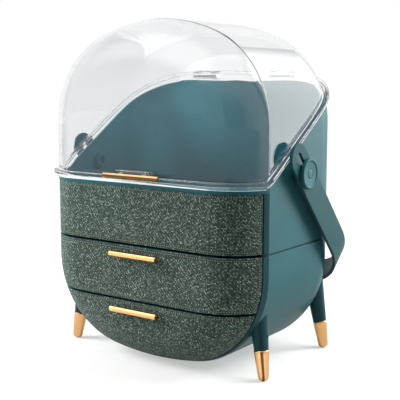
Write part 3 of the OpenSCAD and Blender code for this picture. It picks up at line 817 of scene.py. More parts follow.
def prism(points, z0, z1):
    """an upright block on a plan"""
    bm = bmesh.new()
    low = [bm.verts.new((x, y, z0)) for x, y in points]
    high = [bm.verts.new((x, y, z1)) for x, y in points]
    bm.faces.new(reversed(low))
    bm.faces.new(high)
    for k in range(len(points)):
        j = (k + 1) % len(points)
        bm.faces.new((low[k], low[j], high[j], high[k]))
    return bm


def plate(y0, y1, wall, z0, z1):
    """a level plate inside the form"""
    right = [(half_width(inset_at(y, wall), (z0 + z1)/2), y) for y in spread(y0, y1, plan_steps)]
    return prism(right + [(-x, y) for x, y in reversed(right)], z0, z1)


print("inside the case at the shelf:", round(2*half_width(case_wall, shelf_z0)/MM), "mm wide")

# %% [markdown]
# The compartment's floor is set in by the cloth and its backing all round, which
# leaves a narrow joint at the side walls. The shelf reaches a little into them. Each
# plate could be drawn point by point; with the plan as a helper, it takes two
# depths, a wall and two heights.

# %% Plates
floor_t, floor_reach, shelf_reach, into_wall = 2.5*MM, 35.5*MM, 4.8*MM, 0.4*MM
floor = plate(crease_y - floor_reach, back_y - case_wall, cloth_t + front_wall, floor_z, floor_z + floor_t)
part("compartment_floor", floor, "case", teal, edge=0)
shelf = plate(crease_y - shelf_reach, back_y - case_wall, case_wall - into_wall, shelf_z0, shelf_z1)
part("drawer_shelf", shelf, "case", teal, edge=0.2*MM)

# %% [markdown]
# Between the bowls lies a narrow ring that is set in a little. It draws the fine dark
# line round the case. A line could be painted there instead, but a true groove casts
# its own shadow from every side. The ring also takes the darker plastic, which adds
# painted shade to that shadow.

# %% Groove ring
groove_in, ring_t = 1.5*MM, 2*MM
ring = shell(groove_in, ring_t, [depth(frame_y), level(lower_top), level(floor_z)],
             lambda c: c.y > frame_y and lower_top < c.z < floor_z)
part("case_groove_ring", ring, "case", shaded_teal, edge=0)

# %% [markdown]
# The lower bowl holds the belly and reaches up to the groove. Both drawers slide in
# it. It is made as the upper bowl is, from the same form, so that the two run into
# each other without a step.

# %% Lower bowl
lower = shell(0, case_wall, [depth(frame_y), level(lower_top)],
              lambda c: c.y > frame_y and c.z < lower_top)
shade_front_edge(part("lower_case_shell", lower, "case", teal, ["lower_case"]))

# %% [markdown]
# Two round bosses stand at the back, between the shelf and the compartment's floor.
# The screws that clamp the bowls together run up inside them, behind the drawer.
# They could be drawn into the bowl's mesh. In a moulded case such bosses are plain
# posts, so a post with a fine rounded edge is their true shape.

# %% Screw bosses
boss_r, boss_x, boss_in, boss_sides = 4.5*MM, 85*MM, 17*MM, 32
for name, side in (("right", 1), ("left", -1)):
    boss = bmesh.new()
    bmesh.ops.create_cone(boss, cap_ends=True, segments=boss_sides, radius1=boss_r, radius2=boss_r,
                          depth=floor_z - shelf_z1)
    middle = (side*boss_x, back_y - boss_in, (shelf_z1 + floor_z)/2)
    bmesh.ops.translate(boss, verts=boss.verts[:], vec=middle)
    part(f"screw_boss_{name}", boss, "case", teal, edge=0.3*MM)

# %% [markdown]
# ## The drawers
# A drawer's front is a solid moulding that carries on the curve of the case, with a
# thin dark gap all round. It could be bent from a slab. Cutting the whole form down
# to the stretch between two gaps gives a front that lines up with its neighbours.

# %% Drawer fronts
# the fronts take the darker plastic, which shows as painted shade in the thin gaps round them
for which, z0, z1 in (("upper", shelf_z1, lower_top), ("lower", 0.0, shelf_z0)):
    front = block(cloth_t, (Vector((0, front_back_y, 0)), BACK), level(z1), (Vector((0, 0, z0)), -UP))
    part(f"{which}_front_block", front, f"{which}_drawer", shaded_teal, [f"{which}_drawer_front"])

# %% [markdown]
# The weave mustn't stretch where the front rolls. The cloth could be unwrapped by
# hand, with cuts in its corners. But the roll is a true arc, so the way along it is
# known, and each point's place on the flattened cloth can be worked out. It is stored
# on the mesh, with the distance to the nearest edge, where the shader reads it.

# %% Cloth laid flat
edge_turn = math.acos((roll_cy - front_back_y + crease_y)/roll_r)


def flat_place(co):
    """place of a point on the flattened cloth, and how far round the roll it lies"""
    nx, nz, inset = around(co.x, co.z)
    u = front_roll - inset
    rolled = roll_r*math.atan2(u, roll_cy - (co.y - crease_y)) if u > 0 else u
    return co.x + nx*(rolled - u), co.z + nz*(rolled - u), rolled


def along_outline(x, z):
    """how far along the outline a point lies, from the side down and round the belly"""
    if z >= belly_z:
        return belly_z - z
    turn = math.atan2(belly_z - z, abs(x) - side_cx)
    if turn <= belly_turn:
        return side_r*turn
    return side_r*belly_turn + belly_r*(math.atan2(belly_cz - z, abs(x)) - belly_turn)


def lay_cloth(obj, z0, z1):
    """store each point's place on the flattened cloth, and its place along the nearest seam"""
    laid = obj.data.attributes.new("cloth", "FLOAT_VECTOR", "POINT")
    seams = obj.data.attributes.new("seam", "FLOAT_VECTOR", "POINT")
    for v, place, stitched in zip(obj.data.vertices, laid.data, seams.data):
        x, z, rolled = flat_place(v.co)
        place.vector = (x, z, 0)
        side_edge, level_edge = roll_r*edge_turn - rolled, min(v.co.z - z0, z1 - v.co.z)
        along = along_outline(v.co.x, v.co.z) if side_edge < level_edge else x
        stitched.vector = (min(side_edge, level_edge), along, 0)


print("cloth round each roll:", round(roll_r*edge_turn/MM, 1), "mm")

# %% [markdown]
# Each cloth is a sheet of its own with soft edges. A cloth simulation could drape it,
# but the real one is glued flat to its moulding, so it simply takes the form's own
# skin and is thickened inwards.

# %% Cloths
cloth_gap, below_belly = 0.5*MM, -1*MM


def cloth_front(name, body, node, z0, z1):
    """a sheet of cloth on the front between two heights"""
    sheet = shell(0, cloth_t, [depth(front_back_y), level(z0), level(z1)],
                  lambda c: c.y < front_back_y and z0 < c.z < z1)
    obj = part(name, sheet, body, cloth, [node], edge=0.45*MM)
    lay_cloth(obj, z0, z1)


cloth_front("upper_cloth", "case", "upper_front_fabric", floor_z + cloth_gap, band_z)
cloth_front("middle_cloth", "upper_drawer", "upper_drawer_fabric", shelf_z1 + cloth_gap,
            lower_top - cloth_gap)
cloth_front("lower_cloth", "lower_drawer", "lower_drawer_fabric", below_belly, shelf_z0 - cloth_gap)

# %% [markdown]
# The trays are troughs that follow the belly of the case. The upper one has a flat
# floor above the shelf; the lower one keeps the rounded bottom of the form. A tray
# could be hollowed out of a block. Drawn as one cross section inside another, and
# run from front to back, its walls stay even all round.

# %% Tray section
tray_inset, tray_wall = 7.5*MM, 2*MM
tray_back = crease_y + 120*MM
wall_steps, bend_steps, bottom_steps = 4, 22, 8


def trough_line(inset, z_rim, z_floor):
    """half section of a tray from its rim down to the middle"""
    r, line = side_r - inset, []
    if z_rim > belly_z:
        line = [(body_w/2 - inset, z) for z in spread(z_rim, belly_z, wall_steps)[:-1]]
    start = math.asin(max(0, belly_z - z_rim)/r)
    line += [(side_cx + r*math.cos(a), belly_z - r*math.sin(a))
             for a in spread(start, belly_turn, bend_steps)]
    line += [(x, belly_cz - math.sqrt((belly_r - inset)**2 - x*x))
             for x in spread(line[-1][0], 0, bottom_steps)[1:]]
    return [(x, max(z, z_floor)) for x, z in line]


print("tray:", round((tray_back - front_back_y)/MM), "mm deep inside the case")

# %% [markdown]
# Four copies of the section, two outside and two inside, are joined with faces. An
# extrusion in the editor would give the same; written down, the section can change
# and the tray follows. The front stays open, as the drawer's front closes it.

# %% Tray
def tray(z_rim, z_floor):
    """a trough that is open at the top and in front"""
    outer = trough_line(tray_inset, z_rim, z_floor)
    inner = trough_line(tray_inset + tray_wall, z_rim, z_floor + tray_wall)
    bm = bmesh.new()
    sections = []
    for line, y in ((outer, front_back_y), (outer, tray_back), (inner, tray_back - tray_wall),
                    (inner, front_back_y)):
        whole = line + [(-x, z) for x, z in reversed(line[:-1])]
        sections.append([bm.verts.new((x, y, z)) for x, z in whole])
    last = len(sections[0]) - 1
    a, b, c, d = sections
    for k in range(last):
        bm.faces.new((a[k], a[k + 1], b[k + 1], b[k]))
        bm.faces.new((d[k], c[k], c[k + 1], d[k + 1]))
        bm.faces.new((a[k + 1], a[k], d[k], d[k + 1]))
    bm.faces.new(b)
    bm.faces.new(reversed(c))
    bm.faces.new((d[0], c[0], b[0], a[0]))
    bm.faces.new((a[last], b[last], c[last], d[last]))
    bm.faces.new((b[0], b[last], c[last], c[0]))
    return bm


upper_rim_z, lower_rim_z, upper_tray_z, lower_tray_z = 128*MM, 67.2*MM, 76.3*MM, 0
trial = tray(upper_rim_z, upper_tray_z)
print("upper tray:", len(trial.verts), "points,", len(trial.faces), "faces")
trial.free()

# %% [markdown]
# Each tray has a low catch at the back that meets a stop in the case, so the drawer
# can't be pulled right out. In front the trough is closed by a thin moulded wall that
# follows the drawer's front. Catch and stop could be bent tabs; these are plain
# moulded bars, so short blocks with rounded edges show them as they are.

# %% Trays, catches and stops
catch_h, half_catch = 3.3*MM, 20*MM
stop_t, stop_drop, stop_up = 2.5*MM, 4*MM, 0.5*MM
travel, stop_gap = 100*MM, 0.3*MM
wall_before, wall_behind, wall_under, wall_below_top = 2*MM, 1*MM, 1*MM, 3*MM
catch_front = tray_back - tray_wall
stop_y = catch_front - travel - stop_gap


def bar(y0, y1, z0, z1):
    """a short bar across the middle"""
    return prism([(-half_catch, y0), (half_catch, y0), (half_catch, y1), (-half_catch, y1)], z0, z1)


for which, z_rim, z_floor, z_top in (("upper", upper_rim_z, upper_tray_z, lower_top),
                                     ("lower", lower_rim_z, lower_tray_z, shelf_z0)):
    drawer = f"{which}_drawer"
    part(f"{which}_tray_trough", tray(z_rim, z_floor), drawer, tray_teal, [f"{which}_drawer_tray"],
         edge=0.4*MM)
    catch = bar(catch_front, tray_back, z_rim, z_rim + catch_h)
    part(f"{which}_tray_catch", catch, drawer, tray_teal, edge=0.3*MM)
    closing = block(cloth_t + front_wall, (Vector((0, front_back_y + wall_behind, 0)), BACK),
                    (Vector((0, front_back_y - wall_before, 0)), -BACK), level(z_top - wall_below_top),
                    (Vector((0, 0, z_floor - wall_under)), -UP))
    part(f"{which}_tray_front", closing, drawer, tray_teal, edge=0.3*MM)
    stop = bar(stop_y - stop_t, stop_y, z_top - stop_drop, z_top + stop_up)
    part(f"{which}_drawer_stop", stop, "case", teal, edge=0.3*MM)

# %% [markdown]
# ## The lid
# The dome continues the form above the seat. Its rim is stepped: a skirt that sits
# on the case, and above it a wider flange to lift it by. Dome, flange and skirt could
# be three meshes, but seams would show in clear plastic. So one rim profile is
# carried round the whole edge of the dome, and the lid is one moulding.

# %% Dome and flange
lid_wall, skirt_out, flange_out = 2.5*MM, 3*MM, 6*MM
skirt_h, flange_h, seat_gap = 4*MM, 7.5*MM, 0.3*MM
fillet, soft, soft_mid, nip, inner_nip = 0.9*MM, 0.6*MM, 0.15*MM, 0.4*MM, 0.3*MM
dome_z = flange_h + fillet
fillet_foot = 0.25*MM
rim = [(fillet_foot, flange_h + 0.3*fillet), (fillet, flange_h), (flange_out - soft, flange_h),
       (flange_out - soft_mid, flange_h - soft_mid), (flange_out, flange_h - soft),
       (flange_out, skirt_h + soft), (flange_out - soft_mid, skirt_h + soft_mid),
       (flange_out - soft, skirt_h), (skirt_out + nip, skirt_h), (skirt_out, skirt_h - nip),
       (skirt_out, seat_gap + nip), (skirt_out - nip, seat_gap),
       (-lid_wall + inner_nip, seat_gap), (-lid_wall, seat_gap + inner_nip)]
lid_cuts = [(co + UP*dome_z, no) for co, no in (seat_front, seat_side)]
dome = shell(0, lid_wall, lid_cuts, lambda c: c.z > seat(c.y) + dome_z,
             [(out, dome_z - up) for out, up in rim])
part("lid_dome", dome, "lid", clear, ["lid_shell"], edge=0, corner=60)

# %% [markdown]
# A small clear tab stands behind the lid's gold bar and takes the bar's screws. It
# could be drawn into the rim profile, but then it would run round the whole lid. It
# is a short upright strip of its own, with a wide round for the fingers.

# %% Grip tab
half_tab, tab_t, tab_h, tab_sunk = 23.5*MM, 3.5*MM, 6.5*MM, 0.2*MM
flange_y, flange_top = crease_y - front_bulge - flange_out, rim_h + flange_h
tab_y = flange_y + tab_t
plan = [(-half_tab, flange_y), (half_tab, flange_y), (half_tab, tab_y), (-half_tab, tab_y)]
part("lid_grip_tab", prism(plan, flange_top - tab_sunk, flange_top + tab_h), "lid", clear, edge=1.2*MM)

# %% [markdown]
# ## The strap
# The strap is cut flat with round ends and a slot near each, then bent twice and hung
# on its pivots. It could be swept along a curve, but then slots and round ends would
# have to be cut from a bent band. So it is made as the real one is: drawn flat first,
# and then carried point by point to the bent path, which is worked out here.

# %% Path of the strap
strap_t, strap_w, strap_slide, tip_offset = 3.5*MM, 32*MM, 24*MM, 22*MM
strap_gap, strap_bend_r = 7.5*MM, 72*MM
strap_x = body_w/2 + strap_gap + strap_t/2
pivot_in, pivot_z, strap_back, strap_lean = 55*MM, 212*MM, 17.5*MM, math.radians(48)
strap_reach = (body_depth - pivot_in + strap_back)/math.cos(strap_lean)
bend_r = strap_bend_r - strap_t/2
pivot = Vector((0, crease_y + pivot_in, pivot_z))
hung = Matrix.Translation(pivot) @ Matrix.Rotation(-math.pi/2 - strap_lean, 4, "X")
across_half = strap_x - bend_r
bent = bend_r*math.pi/2


def on_path(s, w, off):
    """a point of the flat strap, carried to the bent one"""
    side, s = (1 if s >= 0 else -1), abs(s)
    if s <= across_half:
        return Vector((side*s, w, strap_reach + off))
    if s <= across_half + bent:
        a = (s - across_half)/bend_r
        r = bend_r + off
        return Vector((side*(across_half + r*math.sin(a)), w, strap_reach - bend_r + r*math.cos(a)))
    return Vector((side*(strap_x + off), w, strap_reach - bend_r - (s - across_half - bent)))


slot_s = across_half + bent + (strap_reach - bend_r)
end_s = slot_s + tip_offset
print("flat length of the strap:", round(2*(end_s + strap_w/2)/MM), "mm")

# %% [markdown]
# The flat blank is an outline with two slots in it. Slots could be punched with a
# boolean; filling the space between the three closed lines with faces does it in one
# step. Large faces would fold badly in the bends, so lines are scored across the
# blank, close together where it will bend.

# %% Blank of the strap
slot_r, tip_steps, slot_steps, score_steps, end_score = 4.5*MM, 24, 12, 30, 50*MM


def loop_of(bm, points):
    """a closed line of edges"""
    verts = [bm.verts.new(p) for p in points]
    return [bm.edges.new((verts[k - 1], verts[k])) for k in range(len(verts))]


def stadium(s0, s1, r, steps):
    """outline of a slot or strip with round ends, from centre s0 to centre s1"""
    ends = [(s1 + r*math.cos(a), r*math.sin(a)) for a in spread(-math.pi/2, math.pi/2, steps)]
    ends += [(s0 + r*math.cos(a), r*math.sin(a)) for a in spread(math.pi/2, 3*math.pi/2, steps)]
    return [(s, w, 0) for s, w in ends]


strap = bmesh.new()
edges = loop_of(strap, stadium(-end_s, end_s, strap_w/2, tip_steps))
for side in (-1, 1):
    slot = sorted((side*slot_s, side*(slot_s + strap_slide)))
    edges += loop_of(strap, stadium(*slot, slot_r, slot_steps))
bmesh.ops.triangle_fill(strap, edges=edges, use_beauty=True)
for s in spread(across_half, across_half + bent, score_steps) + [0, end_s - end_score]:
    for side in (-1, 1):
        cut(strap, (Vector((side*s, 0, 0)), Vector((1, 0, 0))))
print("blank:", len(strap.faces), "faces")

# %% [markdown]
# Now the blank is bent. A curve modifier could do it, with a second object to follow.
# As the path is only straights and two round bends, a formula carries each point to
# its outer side and once more to its inner side, and faces close the edges and the
# slots. The bevel then rounds the edges that the hand holds.

# %% Carrying strap
faces = strap.faces[:]
border = [loop for e in strap.edges if e.is_boundary for loop in e.link_loops]
under = {}
for v in strap.verts[:]:
    s, w = v.co.x, v.co.y
    under[v] = strap.verts.new(hung @ on_path(s, w, -strap_t/2))
    v.co = hung @ on_path(s, w, strap_t/2)
for f in faces:
    strap.faces.new([under[v] for v in reversed(f.verts)])
for loop in border:
    a, b = loop.vert, loop.link_loop_next.vert
    strap.faces.new((b, a, under[a], under[b]))
part("carrying_strap", strap, "strap", strap_teal, ["strap"], edge=0.8*MM)

# %% [markdown]
# ## Turned parts
# The covers over the pivots and the caps on the feet are round parts. A screw
# modifier could turn them; the few lines here do the same and close the ends at the
# axis. A profile of radius and height is swept round the Z axis of a matrix, which
# also puts the part in its place.

# %% Turning
def turned(profile, axis, steps=72):
    """sweep (radius, height) points round the Z axis of a matrix"""
    bm = bmesh.new()
    loops = []
    for r, h in profile:
        if r == 0:
            loops.append([bm.verts.new(axis @ Vector((0, 0, h)))])
            continue
        loops.append([bm.verts.new(axis @ Vector((r*math.cos(t), r*math.sin(t), h)))
                      for t in spread(0, 2*math.pi, steps)[:-1]])
    for a, b in zip(loops, loops[1:]):
        for k in range(steps):
            j = (k + 1) % steps
            if len(a) == 1:
                bm.faces.new((a[0], b[j], b[k]))
            elif len(b) == 1:
                bm.faces.new((a[k], a[j], b[0]))
            else:
                bm.faces.new((a[k], a[j], b[j], b[k]))
    return bm


trial = turned([(0, 0), (10*MM, 0), (10*MM, 4*MM), (0, 4*MM)], Matrix(), 12)
print("a disc with 12 sides:", len(trial.faces), "faces")
trial.free()

# %% [markdown]
# A cover has a raised lip, a sunk face and a plain ring at its centre. These could be
# bump, but lip and ring catch the light at their edges, so they are in the profile:
# from the back of the cover out to its rim, and over the lip in to the centre.

# %% Pivot covers
cover_r, cover_t, cover_gap = 15.5*MM, 4.4*MM, 0.5*MM
cover_x = body_w/2 + strap_gap + strap_t + cover_gap
back_chamfer = 0.4*MM
# the lip in mm in from the rim and down from the top, the ring in mm of radius and down
lip = [(0, 1.0), (0.3, 0.3), (0.9, 0), (1.5, 0), (2.0, 0.3), (2.4, 0.8), (3.2, 0.95)]
small_ring = [(6.4, 0.75), (5.9, 0.8), (5.6, 1.05), (5.2, 1.05), (4.9, 0.8), (3, 0.75), (0, 0.7)]
cover = [(0, 0), (cover_r - back_chamfer, 0), (cover_r, back_chamfer)]
cover += [(cover_r - inwards*MM, cover_t - down*MM) for inwards, down in lip]
cover += [(radius*MM, cover_t - down*MM) for radius, down in small_ring]
for name, side in (("left", -1), ("right", 1)):
    place = Matrix.Translation((side*cover_x, pivot.y, pivot.z)) @ Matrix.Rotation(side*math.pi/2, 4, "Y")
    part(f"pivot_cover_{name}", turned(cover, place), "strap_pivots", teal,
         [f"strap_button_{name}"], edge=0, corner=50)

# %% [markdown]
# A gold cap is a slender cone with a round foot and a fine groove under its top. It
# could be a plain cone with a bevel, but the groove and the collar above it catch a
# bright line each. So the whole profile is drawn, from the foot up to the leg.

# %% Profile of a foot cap
foot_r, cap_top_r, cap_h, foot_sunk = 5.75*MM, 8*MM, 32*MM, 0.35*MM
cone_from, cone_short = 2*MM, 2.2*MM
# groove and collar in mm in from the widest place and down from the top
collar = [(0.45, 2.0), (0.45, 1.6), (0.1, 1.4), (0, 0.4), (0.3, 0)]
foot_z = foot_r - foot_sunk
cap_l = cap_h - foot_z
slope = (cap_top_r - foot_r)/cap_l
cap = [(0, -foot_r)]
cap += [(foot_r*math.cos(a), foot_r*math.sin(a)) for a in spread(-math.pi/2, 0, 12)[1:]]
cap += [(foot_r + slope*h, h) for h in spread(cone_from, cap_l - cone_short, 5)]
cap += [(cap_top_r - inwards*MM, cap_l - down*MM) for inwards, down in collar] + [(0, cap_l)]
print("cap:", round(2*foot_r/MM, 1), "mm across at the foot,", round(2*cap_top_r/MM, 1), "mm at the top")

# %% [markdown]
# The caps lean with the splayed legs. They could simply be tilted, but then each
# would stand on one point of its round foot. So the underside is cut level where it
# meets the floor, and one loop mirrors the lean and the place for all four.

# %% Foot caps
splay_x, splay_y = 0.145, 0.072
tilt = math.atan(math.hypot(splay_x, splay_y))
feet = {"front": (131*MM, crease_y + 6*MM, 1), "back": (127*MM, crease_y + 144*MM, -1)}
for end, (foot_x, foot_y, lean_y) in feet.items():
    for name, side in (("left", -1), ("right", 1)):
        turn = math.atan2(lean_y*splay_y, -side*splay_x)
        place = (Matrix.Translation((side*foot_x, foot_y, foot_z))
                 @ Matrix.Rotation(turn, 4, "Z") @ Matrix.Rotation(tilt, 4, "Y"))
        foot = turned(cap, place, 48)
        trim(foot, (0, 0, 0), -UP, dist=0)
        part(f"gold_cap_{end}_{name}", foot, "case", gold, [f"cap_{end}_{name}"], edge=0, corner=50)

# %% [markdown]
# ## Parts kept from the model
# Bars, legs, hinges, screws and runners already have their true shape in the model.
# They could be built again, but nothing would be gained. They get a fine rounded edge
# that catches the light, and their finish.

# %% Finishes of the kept parts
kept = {
    gold: ["upper_drawer_handle", "lower_drawer_handle", "lid_handle"],
    # legs and the bushes behind the strap's slots take the darker plastic as painted shade
    shaded_teal: ["leg_front_left", "leg_front_right", "leg_back_left", "leg_back_right", "strap_bushes"],
    teal: ["strap_bearings", "strap_nuts"],
    tray_teal: ["upper_runners", "lower_runners"],
    clear: ["lid_hinge_lugs"],
    steel: ["upper_handle_screws", "lower_handle_screws", "lid_handle_screws", "hinge_brackets",
            "hinge_pins", "hinge_screws", "leg_screws", "case_screws"],
}
for finish, names in kept.items():
    for name in names:
        obj = frame["nodes"][name]
        obj.data.materials.clear()
        obj.data.materials.append(finish)
        round_corners(obj, 0.3*MM, 35)
    print(finish.name, "on", len(names), "kept parts")

# %% [markdown]
# ## Camera
# The object is seen from a metre away, a little from its right and from slightly
# above. A camera could be placed by eye; two angles and a distance round a point in
# the middle of the object say the same, and are easy to change one at a time.

# %% Camera
azimuth, elevation, distance = math.radians(35.84), math.radians(7.91), 0.99735
target = Vector((0, crease_y + 76*MM, 0.170))
camera_data = bpy.data.cameras.new("camera")
camera_data.lens = 77.5
camera_data.sensor_width = 36
camera_data.clip_start, camera_data.clip_end = 0.05, 50
camera = bpy.data.objects.new("camera", camera_data)
bpy.context.scene.collection.objects.link(camera)
outward = Vector((math.sin(azimuth)*math.cos(elevation), -math.cos(azimuth)*math.cos(elevation),
                  math.sin(elevation)))
camera.location = target + outward*distance
camera.rotation_euler = outward.to_track_quat("Z", "Y").to_euler()
bpy.context.scene.camera = camera
print("camera at:", [round(c, 3) for c in camera.location])

# %% [markdown]
# ## What gold and clear plastic see
# Polished metal shows the room around it, so the room matters. On a real set, white
# cards and dark gaps are placed round the object. Here the floor and the world shine
# differently for a direct look and for a mirrored ray, which gives a plain white
# background and a lively reflection at the same time.

# %% Rays and directions
dark_way, dark_start, dark_full = (0.585, -0.811, 0), 0.88, 0.965


def soft_step(tree, value, start, end):
    """0 before start, 1 after end, smooth in between"""
    node = add(tree, "ShaderNodeMapRange", interpolation_type="SMOOTHSTEP", Value=value)
    node.inputs["From Min"].default_value, node.inputs["From Max"].default_value = start, end
    return node.outputs[0]


def seen_rays(tree):
    """1 for rays that see a thing directly or through clear plastic, and for mirrored rays"""
    rays = add(tree, "ShaderNodeLightPath").outputs
    straight = sums(tree, "MAXIMUM", rays["Is Camera Ray"], rays["Is Transmission Ray"])
    return straight, sums(tree, "GREATER_THAN", sums(tree, "SUBTRACT", rays["Is Glossy Ray"], straight), 0.5)


def dark_corner(tree, way):
    """1 towards the unlit corner of the studio, in front to the right, else 0"""
    flat_way = vectors(tree, "NORMALIZE", vectors(tree, "MULTIPLY", way, (1, 1, 0)))
    aim = vectors(tree, "DOT_PRODUCT", flat_way, dark_way, result="Value")
    return soft_step(tree, aim, dark_start, dark_full)


unlit_turn = math.degrees(math.atan2(dark_way[0], -dark_way[1]))
print("unlit corner:", round(unlit_turn), "degrees round from the front, to the right")

# %% [markdown]
# ## Floor
# The object stands on a plain pale board that shows its soft shadow. The board could
# be lit until it is white, but that would overlight the object. So it keeps a pale
# colour of its own near the object, and a glow that only a direct look sees lifts it
# to white. In a mirror it glows less, and not at all towards the unlit corner, which
# draws the dark streak on the nearest cap.

# %% Floor finish
fade_start, fade_end, far_share, corner_share = 0.3, 1.2, 0.2, 0.12
glow_near, glow_far, mirror_front, mirror_back = 0.46, 0.90, 0.42, 0.7
near_foot = (feet["front"][0], feet["front"][1], 0)


def pale_board():
    """pale floor: its colour, its shade and its glow"""
    mat, tree, shader = new_material("pale_floor")
    spot = add(tree, "ShaderNodeTexCoord").outputs["Object"]
    radius = vectors(tree, "LENGTH", spot, result="Value")
    far = soft_step(tree, radius, fade_start, fade_end)
    straight, mirrored = seen_rays(tree)
    corner = sums(tree, "MULTIPLY", mirrored, dark_corner(tree, vectors(tree, "SUBTRACT", spot, near_foot)))
    kept_share = sums(tree, "MULTIPLY", between(tree, 1.0, far_share, far),
                      between(tree, 1.0, corner_share, corner))
    speckle = mottled(tree, 30.0, 2.0, 0.54, 0.58)
    tree.links.new(scaled(tree, speckle, kept_share), shader.inputs["Base Color"])
    shader.inputs["Roughness"].default_value = 0.8
    # in a mirror the board glows a little in front, and behind the object more further out
    behind = soft_step(tree, add(tree, "ShaderNodeSeparateXYZ", Vector=spot).outputs["Y"], -0.5, 0.4)
    near = sums(tree, "SUBTRACT", 1.0, soft_step(tree, radius, 0.9, 2.0))
    in_front = sums(tree, "MULTIPLY", near, mirror_front)
    around_it = add(tree, "ShaderNodeMix", i0=behind, i2=in_front, i3=between(tree, 0.0, mirror_back, far))
    in_mirror = sums(tree, "MULTIPLY", around_it.outputs[0], sums(tree, "SUBTRACT", mirrored, corner))
    glow = sums(tree, "MULTIPLY_ADD", straight, between(tree, glow_near, glow_far, far), in_mirror)
    shader.inputs["Emission Color"].default_value = (1, 1, 1, 1)
    tree.links.new(glow, shader.inputs["Emission Strength"])
    return mat


board = pale_board()
print("floor finish:", board.name, "with", len(board.node_tree.nodes), "nodes")

# %% [markdown]
# The board is one large flat square. A backdrop that curves up behind the object
# would be usual in a studio, but the world behind this one is white already, so no
# edge shows. It lies a hair below the feet, because two faces in one plane flicker.

# %% Floor
floor_half, floor_drop = 6, 0.05*MM


def flat_board(name, half, squares, finish):
    """a level square board, divided into squares"""
    bm = bmesh.new()
    bmesh.ops.create_grid(bm, x_segments=squares, y_segments=squares, size=half)
    mesh = bpy.data.meshes.new(name)
    bm.to_mesh(mesh)
    bm.free()
    mesh.materials.append(finish)
    return bpy.data.objects.new(name, mesh)


floor_obj = flat_board("floor", floor_half, 2, board)
floor_obj.location.z = -floor_drop
bpy.context.scene.collection.objects.link(floor_obj)
print("floor:", 2*floor_half, "m square")

# %% [markdown]
# ## Surroundings
# The studio's walls and ceiling are pale. They could be modelled as a room of boards
# and lamps, which takes longer to render. Here the brightness is worked out from the
# direction alone: a bright patch of ceiling in front to the left, a darker lower
# front, and the same unlit corner as on the floor. Only mirrored rays see these.

# %% Surroundings
ambient, wall_glow, front_glow, corner_glow, ceiling_glow = 0.25, 1.05, 0.4, 0.08, 2.0
overhead = Vector((-0.39, -0.58, 0.71)).normalized()
world = bpy.data.worlds.new("studio")
bpy.context.scene.world = world
world.use_nodes = True
tree = world.node_tree
way = add(tree, "ShaderNodeTexCoord").outputs["Generated"]
axes = add(tree, "ShaderNodeSeparateXYZ", Vector=way).outputs
forward = sums(tree, "SUBTRACT", 1.0, soft_step(tree, axes["Y"], -0.5, 0.1))
low_down = sums(tree, "SUBTRACT", 1.0, soft_step(tree, axes["Z"], 0.1, 0.6))
lower_front = between(tree, wall_glow, front_glow, sums(tree, "MULTIPLY", forward, low_down))
unlit = between(tree, 1.0, corner_glow, sums(tree, "MULTIPLY", dark_corner(tree, way), low_down))
aim = vectors(tree, "DOT_PRODUCT", way, tuple(overhead), result="Value")
ceiling = sums(tree, "MULTIPLY", soft_step(tree, aim, 0.80, 0.98), ceiling_glow)
in_mirror = sums(tree, "MULTIPLY_ADD", lower_front, unlit, ceiling)
straight, mirrored = seen_rays(tree)
shine = sums(tree, "MULTIPLY_ADD", straight, 1.0 - ambient, ambient)
shine = sums(tree, "MULTIPLY_ADD", mirrored, sums(tree, "SUBTRACT", in_mirror, ambient), shine)
tree.links.new(shine, tree.nodes["Background"].inputs["Strength"])
tree.nodes["Background"].inputs["Color"].default_value = (1, 1, 1, 1)
print("world light on the object:", ambient)

# %% [markdown]
# ## Lamps
# Large soft panels suit rounded shells: one high up to the right, one low in front to
# the left and one behind to the right. Spot lamps would be simpler to aim, but they
# draw hard shadows and small hot spots. The panels aren't mirrored in the object, as
# the world and a card make its reflections. A narrow beam reaches in through the lid.

# %% Lamps
inside, beam = Vector((-0.11, 0.05, 0.27)), math.radians(12)


def face_object(obj, location, aim=target):
    """place a thing and turn it towards the object; the camera doesn't see it"""
    obj.location = location
    obj.rotation_euler = (Vector(location) - aim).to_track_quat("Z", "Y").to_euler()
    bpy.context.scene.collection.objects.link(obj)
    obj.visible_camera = False


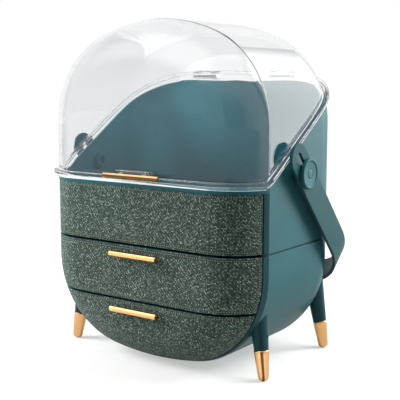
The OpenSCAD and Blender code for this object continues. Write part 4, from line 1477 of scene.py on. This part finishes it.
def panel(name, location, size, power, aim=target, fan=math.pi):
    """a soft square lamp that faces the object and isn't mirrored in it"""
    data = bpy.data.lights.new(name, "AREA")
    data.shape = "RECTANGLE"
    data.size = data.size_y = size
    data.energy = power
    data.spread = fan
    lamp = bpy.data.objects.new(name, data)
    face_object(lamp, location, aim)
    lamp.visible_glossy = lamp.visible_transmission = False
    print(f"{name}: {power} W, {round((lamp.location - aim).length, 2)} m away")


panel("top_panel", (0.85, 0.55, 1.15), 0.8, 17)
panel("left_front_panel", (-0.78, -0.47, 0.5), 0.5, 14.5)
panel("right_back_panel", (1.05, 1.2, 0.75), 0.5, 15)
panel("inside_lamp", (0.50, -0.95, 0.72), 0.12, 0.10, inside, beam)

# %% [markdown]
# ## Reflecting card
# A white card behind the object, to the right, gives clear plastic and gold a soft
# broad reflection. One of the panels could be mirrored instead, but its square
# outline would show. The card is brightest low in the middle and fades to nothing at
# its sides and its top.

# %% Reflecting card
card_half, card_glow, fade_from, fade_top = 1.1, 3.9, 0.5, 1.05


def white_card():
    """a glow that fades towards the sides and the top of the card"""
    mat = bpy.data.materials.new("white_card")
    mat.use_nodes = True
    tree = mat.node_tree
    place = add(tree, "ShaderNodeTexCoord").outputs["Object"]
    across = add(tree, "ShaderNodeSeparateXYZ", Vector=place).outputs
    sides = soft_step(tree, sums(tree, "ABSOLUTE", across["X"]), fade_from, card_half)
    top = soft_step(tree, across["Y"], fade_from, fade_top)
    fade = sums(tree, "MULTIPLY", sums(tree, "SUBTRACT", 1.0, sides), sums(tree, "SUBTRACT", 1.0, top))
    lit = add(tree, "ShaderNodeEmission", Strength=sums(tree, "MULTIPLY", fade, card_glow))
    tree.links.new(lit.outputs[0], tree.nodes["Material Output"].inputs["Surface"])
    return mat


card = flat_board("card", card_half, 1, white_card())
face_object(card, (0.85, 1.05, 0.95))
card.visible_diffuse = card.visible_transmission = card.visible_shadow = False
bpy.context.scene.view_settings.view_transform = "Standard"
print("card:", 2*card_half, "m square,", round((card.location - target).length, 2), "m away")
